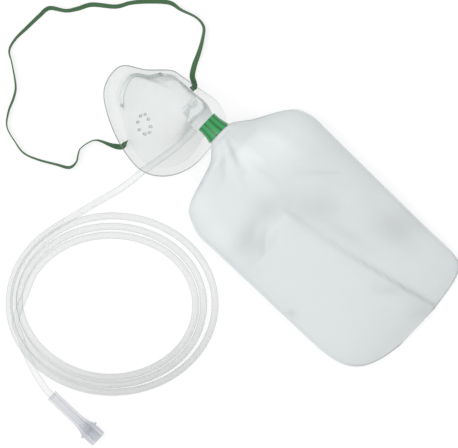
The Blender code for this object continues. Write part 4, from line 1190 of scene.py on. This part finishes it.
def tubing_density(line, look):
    """A function that says how dense the tubing looks at a place on it. The bore shows much less
    than the outside, and the turns towards one side of the coil show more, which also darkens them
    as painted shade."""
    tree = KDTree(len(line))
    for i, point in enumerate(line):
        tree.insert(point, i)
    tree.balance()
    between = (look.diameter + look.bore) / 4 + 0.1 * MM
    shadewards = Vector(SHADED_WAY)

    def at(place):
        off = Vector(COIL_CENTRE) - place.xy
        # Painted shade: the coil's turns towards one side are made denser and darker
        shaded = within(off.dot(shadewards) / SHADED_REACH)
        nearest, away = tree.find(place)[1:]
        alone = not COIL_SHARES[0] <= nearest / len(line) <= COIL_SHARES[1]
        outside = 1.0 if away > between else BORE_DENSITY
        return outside * (ALONE_DENSITY if alone else 1.0 + shaded)

    return at


def coil_point(quarter, inset, height):
    """A point of the coil in metres, from quarter turns and millimetres."""
    angle = quarter * math.pi / 2
    right = -(COIL_LONG - inset * MM) * math.cos(angle)
    up = -(COIL_SHORT - inset * MM) * math.sin(angle)
    place = Matrix.Rotation(VIEW_TURN, 2) @ Vector((right, up))
    return (COIL_CENTRE[0] + place.x, COIL_CENTRE[1] + place.y, height * MM)


def tubing_line():
    """The centre line of the tubing, evenly spaced."""
    start = (CUFF_END_X - CLEARANCE, NIPPLE_Y, AXIS_HEIGHT)
    straight = (start[0] - 7 * MM, start[1] + 0.2 * MM, AXIS_HEIGHT - 0.4 * MM)
    lead, tail = ([tuple(v * MM for v in point) for point in way] for way in (LEAD_MM, TAIL_MM))
    knots = np.array(COIL_TURNS_MM, float)
    quarters = np.arange(knots[0, 0], knots[-1, 0] + 1e-6, 0.125)
    insets, heights = (smooth_at(knots[:, 0], knots[:, k], quarters) for k in (1, 2))
    coil = [
        coil_point(quarter, inset, max(height, LYING_HEIGHT_MM))
        for quarter, inset, height in zip(quarters, insets, heights)
    ]
    finish = [(END_START[0], END_START[1] + off * MM, END_HEIGHT) for off in (6, -3)]
    line = smooth_line([start, straight, *lead, *coil, *tail, *finish], 12)
    return even_line(line, TUBING_POINTS)


def cuff_mesh(look):
    """The wide soft end of the tubing on the nipple."""
    inner = NIPPLE_RADIUS + CLEARANCE
    outer = inner + CUFF_WALL
    tube, bore = look.diameter / 2, look.bore / 2
    profile = [
        (inner, CUFF_LENGTH), (outer, CUFF_LENGTH), (outer, 2.6 * MM),
        (tube + 0.35 * MM, 0.6 * MM), (tube + 0.1 * MM, 0), (bore, 0), (bore, 2.0 * MM),
        (inner, 3.2 * MM), (inner, CUFF_LENGTH),
    ]
    place = along((CUFF_END_X, NIPPLE_Y, AXIS_HEIGHT), (1, 0, 0))
    return turned("cuff", rounded(profile)[:-1], place)


def end_mesh():
    """The connector on the tubing's far end: sleeve, flare with two wings, and ribbed socket."""
    x, start = END_START
    tube, sleeve, socket, bore = 3.3 * MM, 5.4 * MM, 7.8 * MM, 4.2 * MM
    waist = sleeve * 0.955
    flare = start - END_SLEEVE_LENGTH
    collar = flare - END_FLARE_LENGTH
    end = collar - END_SOCKET_LENGTH
    profile = [
        (tube, start), (sleeve, start), (sleeve, start - 2.2 * MM), (waist, start - 2.6 * MM),
        (waist, flare + 3 * MM), (sleeve, flare),
        (sleeve + 0.35 * (socket - sleeve), flare - 5.5 * MM), (socket, collar + 0.8 * MM),
        (socket * 1.04, collar), (socket * 1.04, collar - 2.4 * MM), (socket, collar - 2.8 * MM),
        (socket, end), (bore + 0.5 * MM, end), (bore, end + 1 * MM), (bore, collar + 2 * MM),
        (tube, flare - 2 * MM), (tube, start),
    ]
    body = turned("end body", rounded(profile, most=0.6 * MM)[:-1], along_y(x, END_HEIGHT))
    wings = bar(
        "wings", Matrix.Translation((x, collar - 1.2 * MM, END_HEIGHT)),
        (19.2 * MM, 2.4 * MM, 3.0 * MM), edge=0.5 * MM,
    )
    ribs, length = [], END_SOCKET_LENGTH - 4.8 * MM
    for k in range(12):
        angle = TURN * (k + 0.5) / 12
        out = Vector((math.cos(angle), 0, math.sin(angle)))
        middle = Vector((x, end + 1.2 * MM + length / 2, END_HEIGHT)) + out * socket
        place = Matrix.Translation(middle) @ Matrix.Rotation(-angle, 4, "Y")
        ribs.append(bar("rib", place, (1.0 * MM, length, 1.3 * MM), edge=0.25 * MM))
    return carved(body, [("UNION", wings), ("UNION", joined("ribs", ribs))])


# The strap


class OXYGEN_OT_strap(Operator):
    """Make the elastic head strap, from its tail in one slit round to its tail in the other"""

    bl_idname = "oxygen_set.strap"
    bl_label = "Head strap"

    def execute(self, context):
        look = context.scene.oxygen_strap
        half, deep = look.width / 2, look.thickness / 2
        section = STRAP_SECTION + [(-a, -b) for a, b in STRAP_SECTION]
        centre, layers = [], []
        for point, run, wide in strap_rows(look):
            thick = wide.cross(run).normalized() * deep
            side = wide.normalized() * half
            centre.append(tuple(point))
            layers.append([point + side * a + thick * b for a, b in section])
        elastic = knitted_elastic("green elastic", look.colour)
        mesh = capped_grid("head strap", layers)
        strap = add_piece("strap_band", mesh, elastic, ("head_strap",), 60)
        return {"FINISHED"}


def strap_rows(look):
    """Points along the strap with its direction and the direction of its width."""
    right = strap_end(EAR_BEARINGS[0], RIGHT_END_MM, 1)
    left = strap_end(EAR_BEARINGS[1], LEFT_END_MM, -1)[::-1]
    route = []
    for x, y, roll in STRAP_ROUTE_MM:
        lean = math.radians(roll)
        height = STRAP_LIFT + (look.width * math.sin(lean) + look.thickness * math.cos(lean)) / 2
        route.append((x * MM, y * MM, height, roll))
    # Degrees are made as small as lengths while the line is smoothed
    between = np.array([left[-2], left[-1], *route, right[0], right[1]]) * (1, 1, 1, MM)
    middle = smooth_line(between, 6)[6:-6]
    ends = [smooth_line(np.array(rows) * (1, 1, 1, MM), 2) for rows in (left, right)]
    line = np.vstack([ends[0][:-1], middle, ends[1][1:]]) * (1, 1, 1, 1 / MM)
    frames, level = [], None
    for (*place, roll), step in zip(line, np.gradient(line[:, :3], axis=0)):
        run = Vector(step).normalized()
        flat = Vector((0, 0, 1)).cross(run)
        # Where the strap stands nearly upright, its width keeps the direction that it had
        if flat.length > UPRIGHT_LIMIT or level is None:
            level = flat.normalized()
        level = (level - run * level.dot(run)).normalized()
        lean = math.radians(roll)
        wide = level * math.cos(lean) + run.cross(level) * math.sin(lean)
        frames.append((Vector(place), run, wide))
    return frames


def strap_end(ear, way, nose_side):
    """Rows x, y, z, roll from just outside the rim to the tail's end at one slit."""
    rows = []
    for out, nose, height, roll in way:
        spot = slit_place(ear) @ Vector((out * MM, nose * nose_side * MM, 0))
        rows.append((spot.x, spot.y, height * MM, roll))
    return rows


# The mask and its clip


class OXYGEN_OT_mask(Operator):
    """Make the soft clear shell with its port, strap slits and exhalation holes"""

    bl_idname = "oxygen_set.mask"
    bl_label = "Mask shell"

    def execute(self, context):
        look = context.scene.oxygen_mask
        mesh = mask_shell_mesh(look.wall, look.hole_diameter / 2)
        set_values(mesh, "dense", mask_density)
        vinyl = clear_plastic(
            "clear vinyl", look.film_colour, look.film_opacity, roughness=0.3, cloud=26.0,
            spread=0.1, dense=True, sharpness=5.0, relief=0.04 * MM,
        )
        add_piece("mask_film", mesh, vinyl, ("mask_shell",), 35)
        return {"FINISHED"}


class OXYGEN_OT_nose_clip(Operator):
    """Make the bent aluminium nose clip and the two pegs that hold it, once the mask is made"""

    bl_idname = "oxygen_set.nose_clip"
    bl_label = "Nose clip"

    def execute(self, context):
        look = context.scene.oxygen_mask
        frames = clip_frames()
        half, thick = look.clip_width / 2, look.clip_thickness
        rows, last = [], len(frames) - 1
        for i, (point, normal, run) in enumerate(frames):
            # The strip is bent over towards the top of the mask, and has round ends
            normal = (normal + Vector((0, 0, CLIP_LEAN))).normalized()
            side = normal.cross(run).normalized()
            reach = min(i, last - i) / last * CLIP_LENGTH_MM * MM
            width = half * math.sqrt(max(1 - max(1 - reach / CLIP_END_RADIUS, 0) ** 2, 0.02))
            low = point + normal * CLIP_GAP
            rows.append([low + side * a * width + normal * b * thick for a, b in CLIP_SECTION])
        metal = rolled_aluminium("dull aluminium", look.clip_colour)
        mesh = capped_grid("nose clip", rows)
        add_piece("nose_strip", mesh, metal, ("nose_clip",), 50)
        pegs = []
        for tip in (frames[0][0], frames[-1][0]):
            point, normal, _ = min(
                frames, key=lambda row: abs((row[0] - tip).length - PEG_INSET)
            )
            pegs.append(turned("peg", peg_profile(thick), along(point, normal), steps=32))
        held = joined("clip pegs", pegs)
        set_values(held, "dense", lambda place: 1.8)
        add_piece("clip_pegs", held, bpy.data.materials["clear vinyl"])
        return {"FINISHED"}


def peg_profile(thick):
    """The peg's head and shank above the shell."""
    top = CLIP_GAP + thick + 0.45 * MM
    return [
        (0, top + 0.8 * MM), (0.9 * MM, top + 0.75 * MM), (1.45 * MM, top + 0.5 * MM),
        (1.7 * MM, top + 0.2 * MM), (1.6 * MM, top), (0.9 * MM, top), (0.9 * MM, -0.2 * MM),
        (0, -0.2 * MM),
    ]


# The valve


class OXYGEN_OT_valve(Operator):
    """Make the clear valve connector, its leaflet and the green ring on the bag's neck"""

    bl_idname = "oxygen_set.valve"
    bl_label = "Connector, leaflet and ring"

    def execute(self, context):
        look = context.scene.oxygen_valve
        clear = clear_plastic(
            "clear rigid plastic", look.plastic_colour, opacity=0.045, roughness=0.15, ior=1.45,
            cloud=80.0, spread=0.1, edge=0.14, sharpness=3.0, dark_edge=1.0,
        )
        soft = clear_plastic(
            "silicone", look.silicone_colour, opacity=0.14, roughness=0.5, cloud=200.0,
            spread=0.06, edge=0.16, dark_edge=1.0,
        )
        green = reflection_banded_plastic("green plastic", look.ring_colour, roughness=0.32, reflection_bands=11.0)
        for name, mesh, material, node, slot, smooth_to in (
            ("valve_body", connector_mesh(), clear, "valve_connector", "clear_rigid_plastic", 30),
            ("valve_leaflet", leaflet_mesh(), soft, "valve_disc", "silicone", 30),
            ("neck_ring", ring_mesh(look), green, "bag_ring", "ring_green", 35),
        ):
            add_piece(name, mesh, material, (node,), smooth_to)
        return {"FINISHED"}


def connector_mesh():
    """Spigot with valve seat, stop flange, body with nipple, and the tail for the bag."""
    end, stop = PORT_FACE_Y + SPIGOT_LENGTH, PORT_FACE_Y - CLEARANCE
    tip, step = spigot_radius(SPIGOT_LENGTH), BODY_END_Y
    tail = step - TAIL_LENGTH
    bore, tail_bore = tip - CONNECTOR_WALL, TAIL_RADIUS - CONNECTOR_WALL
    profile = [
        (bore, end), (tip, end), (SPIGOT_RADIUS, stop), (STOP_RADIUS, stop),
        (STOP_RADIUS, stop - STOP_THICKNESS), (BODY_RADIUS, stop - STOP_THICKNESS),
        (BODY_RADIUS, step), (TAIL_RADIUS, step), (TAIL_RADIUS, tail + 4 * MM),
        (TAIL_RADIUS - 0.5 * MM, tail), (tail_bore, tail), (tail_bore, step - CONNECTOR_WALL),
        (bore, step + CONNECTOR_WALL), (bore, end),
    ]
    body = turned("connector", rounded(profile)[:-1], ON_AXIS, steps=96)
    seat = end - SEAT_DEPTH + SEAT_THICKNESS / 2
    steps = []
    for k in range(2):
        turn = Matrix.Rotation(math.pi * (k / 2 + 1 / 4), 4, "Y")
        # The second spoke is slightly thinner, so that no two faces lie in one plane
        size = (2 * bore + CONNECTOR_WALL, SEAT_THICKNESS * 0.98**k, SPOKE_WIDTH)
        place = Matrix.Translation((AXIS_X, seat, AXIS_HEIGHT)) @ turn
        steps.append(("UNION", bar("spoke", place, size)))
    hub = (AXIS_X, seat - SEAT_THICKNESS / 2, AXIS_HEIGHT)
    steps.append(("UNION", rod("hub", hub, (0, 1, 0), HUB_RADIUS, SEAT_THICKNESS * 1.02, sides=40)))
    root = (AXIS_X - BODY_RADIUS + CONNECTOR_WALL * 0.6, NIPPLE_Y, AXIS_HEIGHT)
    reach, wide = NIPPLE_LENGTH + CONNECTOR_WALL * 0.6, NIPPLE_RADIUS
    nipple = [
        (0, reach), (wide * 0.75, reach), (wide, reach - wide), (wide * 0.9, reach - wide * 1.2),
        (wide * 0.9, wide), (wide * 1.15, 0), (0, 0),
    ]
    steps.append(("UNION", turned("nipple", rounded(nipple), along(root, (-1, 0, 0)), steps=40)))
    way = (AXIS_X - bore * 0.5, NIPPLE_Y, AXIS_HEIGHT)
    drill = rod("nipple bore", way, (-1, 0, 0), NIPPLE_BORE, 40 * MM, sides=28)
    steps.append(("DIFFERENCE", drill))
    return carved(body, steps)


def leaflet_mesh():
    """The silicone leaflet with the stem that holds it in the hub."""
    seat = PORT_FACE_Y + SPIGOT_LENGTH - SEAT_DEPTH + SEAT_THICKNESS
    wide = spigot_radius(SPIGOT_LENGTH) - CONNECTOR_WALL - CLEARANCE
    low, high = seat + CLEARANCE, seat + CLEARANCE + LEAFLET_THICKNESS
    back = seat - SEAT_THICKNESS - CLEARANCE
    profile = [
        (0, high + 0.6 * MM), (1.5 * MM, high + 0.42 * MM), (2.0 * MM, high),
        (wide, high - 0.15 * MM), (wide, low), (0.8 * MM, low), (0.8 * MM, back),
        (1.5 * MM, back), (0.4 * MM, back - 1.8 * MM), (0, back - 1.8 * MM),
    ]
    return turned("leaflet", rounded(profile, most=0.25 * MM), ON_AXIS, steps=64)


def ring_mesh(look):
    """The green ring: slightly waisted, and flared towards the bag."""
    inner = TAIL_RADIUS + 2 * CLEARANCE + BAG_FILM
    outside, inside = [], []
    for share in np.arange(25) / 24:
        flare, y = RING_FLARE * share**RING_CURVE, RING_START_Y - RING_LENGTH * share
        swell = RING_SWELL * math.exp(-((share - 0.03) / 0.05) ** 2)
        outside.append((inner + look.ring_wall + flare - RING_WAIST + swell, y))
        inside.append((inner + flare, y))
    for i, cut in ((0, 0.35 * MM), (-1, 0.3 * MM)):
        outside[i] = (outside[i][0] - cut, outside[i][1])
    return turned("ring", outside + inside[::-1], ON_AXIS, steps=96)


# The bag


class OXYGEN_OT_bag(Operator):
    """Make the frosted reservoir bag with its folds, gathered neck and welded edge"""

    bl_idname = "oxygen_set.bag"
    bl_label = "Reservoir bag"

    def execute(self, context):
        look = context.scene.oxygen_bag
        rows = bag_sections(look)
        points = np.array([bag_section(row, look) for row in rows])
        # The far end closes on the middle of its last section
        last = points[-1].mean(0)
        points = np.concatenate([points, np.repeat(last[None, None], points.shape[1], 1)])
        shell = thickened(laid_grid("bag film", points), BAG_FILM / 2)
        outline = np.array([row[:3] for row in rows])[::-1]
        # The film gets painted shade and painted light in patches, and a painted shadow along its
        # far end
        set_values(shell, "painted_shade_and_light", lambda place: bag_painted_shade(place.x, place.y, outline))
        film = clear_plastic(
            "frosted film", look.film_colour, look.film_opacity, roughness=0.55, ior=1.4,
            cloud=18.0, spread=0.05, with_painted_shade=True, edge=0.85, sharpness=8.0, dark_edge=0.95,
            relief=0.05 * MM,
        )
        bag = add_piece("bag_film", shell, film, ("reservoir_bag",), 70)
        return {"FINISHED"}


def bag_sections(look):
    """Finely spaced sections along the bag: y, middle, half width, underside, top, roundness, seam
    share and how blunt the underside is."""
    neck, end = TAIL_RADIUS + CLEARANCE + BAG_FILM, RING_START_Y - RING_LENGTH
    rows = []
    # The neck is round, and flares with the ring
    for y, wide, high in (
        (RING_START_Y - CLEARANCE, 0, 0), (RING_START_Y - RING_LENGTH * 0.5, 0, 0),
        (end + RING_LENGTH * 0.12, 0.68, 0.6), (end - CLEARANCE, 1, 1),
    ):
        half, rise = neck + RING_FLARE * wide, neck + RING_FLARE * high
        rows.append((y, AXIS_X, half, AXIS_HEIGHT - rise, AXIS_HEIGHT + rise, 1.0, 0.5, 1.0))
    half, fill = look.width / 2, look.fill
    for share, middle, width, under, over in BAG_SECTIONS:
        y = end + (BAG_END_Y - end) * share
        round_off = 1.0 + 0.35 * min(share / 0.15, 1.0)
        rows.append(
            (y, middle * MM, half * width, fill * under, fill * over, round_off, 0.3, 0.45)
        )
    return [row for row in smooth_line(rows, 10) if row[0] >= BAG_END_Y - 1e-9]


def bag_section(row, look):
    """One section of the bag: flat below, crowned above, with a thin welded edge at each side."""
    y, middle, half, under, over, round_off, seam_share, blunt = row
    seam = under + (over - under) * seam_share
    inner = max(half - look.weld * within((round_off - 1.0) / 0.2), half * 0.5)
    film = WELD_FILM if round_off > 1.0 else 0.0
    ring = []
    for k in range(BAG_SIDES):
        angle = TURN * k / BAG_SIDES
        off = half * math.cos(angle)
        x = middle + off
        rise = math.sqrt(max(1 - min(abs(off) / inner, 1.0) ** 2, 0.0))
        if math.sin(angle) >= 0:
            z = seam + film + (over - seam) * rise**round_off
            if round_off > 1.0:
                lift = fold_height(x, y) * min(rise * 1.3, 1.0) * within((round_off - 1.0) / 0.04)
                z = max(z + lift, seam + film)
            z = max(z, BAG_LEAST_HEIGHT)
        else:
            z = max(seam - film - (seam - under) * rise**blunt, 0.0)
        ring.append((x, y, z))
    return ring


FOLDS = np.array(BAG_FOLDS_MM, float) * MM
FOLD_STARTS, FOLD_HEIGHTS, FOLD_WIDTHS = FOLDS[:, :2], FOLDS[:, 4], FOLDS[:, 5]
FOLD_RUNS = FOLDS[:, 2:4] - FOLD_STARTS


def fold_height(x, y):
    """How far the folds lift or lower the bag's top at a place."""
    off = np.array((x, y)) - FOLD_STARTS
    share = np.clip((off * FOLD_RUNS).sum(1) / (FOLD_RUNS**2).sum(1), 0, 1)
    away = np.linalg.norm(off - FOLD_RUNS * share[:, None], axis=1) / FOLD_WIDTHS
    return float((FOLD_HEIGHTS * np.exp(-(away**2))).sum())


def outside_panel(x, y):
    """How far a place lies outside the panel's edge. Inside it, the number is below zero."""
    found = []
    for (ax, ay), (bx, by) in zip(PANEL_EDGE_MM, PANEL_EDGE_MM[1:]):
        rx, ry, ox, oy = bx - ax, by - ay, x - ax, y - ay
        share = within((ox * rx + oy * ry) / (rx * rx + ry * ry))
        away = math.hypot(ox - rx * share, oy - ry * share)
        found.append(math.copysign(away, rx * oy - ry * ox))
    return min(found, key=abs)


def bag_painted_shade(x, y, outline):
    """How much painted shade the film gets at a place, from its patches of painted shade and light
    and the painted shadow line at the far end.
    """
    x, y = x / MM, y / MM
    outside = outside_panel(x, y)
    total = 0.0
    for px, py, wide, long, turn, strength, side in BAG_SHADE_PATCHES_MM:
        c, s = math.cos(math.radians(turn)), math.sin(math.radians(turn))
        dx, dy = x - px, y - py
        away = ((dx * c + dy * s) / wide) ** 2 + ((dy * c - dx * s) / long) ** 2
        cut = within(0.5 + side * outside / PATCH_EDGE_MM) if side else 1.0
        total += strength * math.exp(-away) * cut
    # The painted shadow line follows the outline at the far end
    middle, half = (np.interp(y * MM, outline[:, 0], outline[:, k]) / MM for k in (1, 2))
    behind = np.interp((y + 3) * MM, outline[:, 0], outline[:, 2]) / MM
    inside = (half - abs(x - middle)) / math.hypot(1.0, (behind - half) / 3)
    line = math.exp(-((max(inside, 0.0) / END_SHADOW_WIDTH_MM) ** 2))
    return total + END_SHADOW_DARK * within((END_SHADOW_START_MM - y) / END_SHADOW_RISE_MM) * line


class OXYGEN_PT_panel(Panel):
    """Lists the set's pieces, with the sizes and colours of each"""

    bl_idname = "OXYGEN_PT_panel"
    bl_label = "Oxygen face mask set"
    bl_space_type = "VIEW_3D"
    bl_region_type = "UI"
    bl_category = "Oxygen mask"

    def draw(self, context):
        for operator, settings, _ in STEPS:
            box = self.layout.box()
            box.operator(operator.bl_idname)
            group = getattr(context.scene, settings)
            for label in group.__annotations__:
                box.prop(group, label)


# Each step's operator, and the name and kind of its settings. The clip shares the mask's.
STEPS = (
    (OXYGEN_OT_stage, "oxygen_stage", StageSettings),
    (OXYGEN_OT_tubing, "oxygen_tubing", TubingSettings),
    (OXYGEN_OT_strap, "oxygen_strap", StrapSettings),
    (OXYGEN_OT_mask, "oxygen_mask", MaskSettings),
    (OXYGEN_OT_nose_clip, "oxygen_mask", MaskSettings),
    (OXYGEN_OT_valve, "oxygen_valve", ValveSettings),
    (OXYGEN_OT_bag, "oxygen_bag", BagSettings),
)
SETTINGS = {name: kind for _, name, kind in STEPS}


def register():
    for name, group in SETTINGS.items():
        bpy.utils.register_class(group)
        setattr(bpy.types.Scene, name, PointerProperty(type=group))
    for operator, _, _ in STEPS:
        bpy.utils.register_class(operator)
    bpy.utils.register_class(OXYGEN_PT_panel)


def unregister():
    bpy.utils.unregister_class(OXYGEN_PT_panel)
    for operator, _, _ in reversed(STEPS):
        bpy.utils.unregister_class(operator)
    for name, group in SETTINGS.items():
        delattr(bpy.types.Scene, name)
        bpy.utils.unregister_class(group)


def main():
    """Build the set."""
    register()
    bpy.ops.oxygen_set.stage()
    bpy.ops.oxygen_set.tubing()
    bpy.ops.oxygen_set.strap()
    bpy.ops.oxygen_set.mask()
    bpy.ops.oxygen_set.nose_clip()
    bpy.ops.oxygen_set.valve()
    bpy.ops.oxygen_set.bag()


if __name__ == "__main__":
    main()
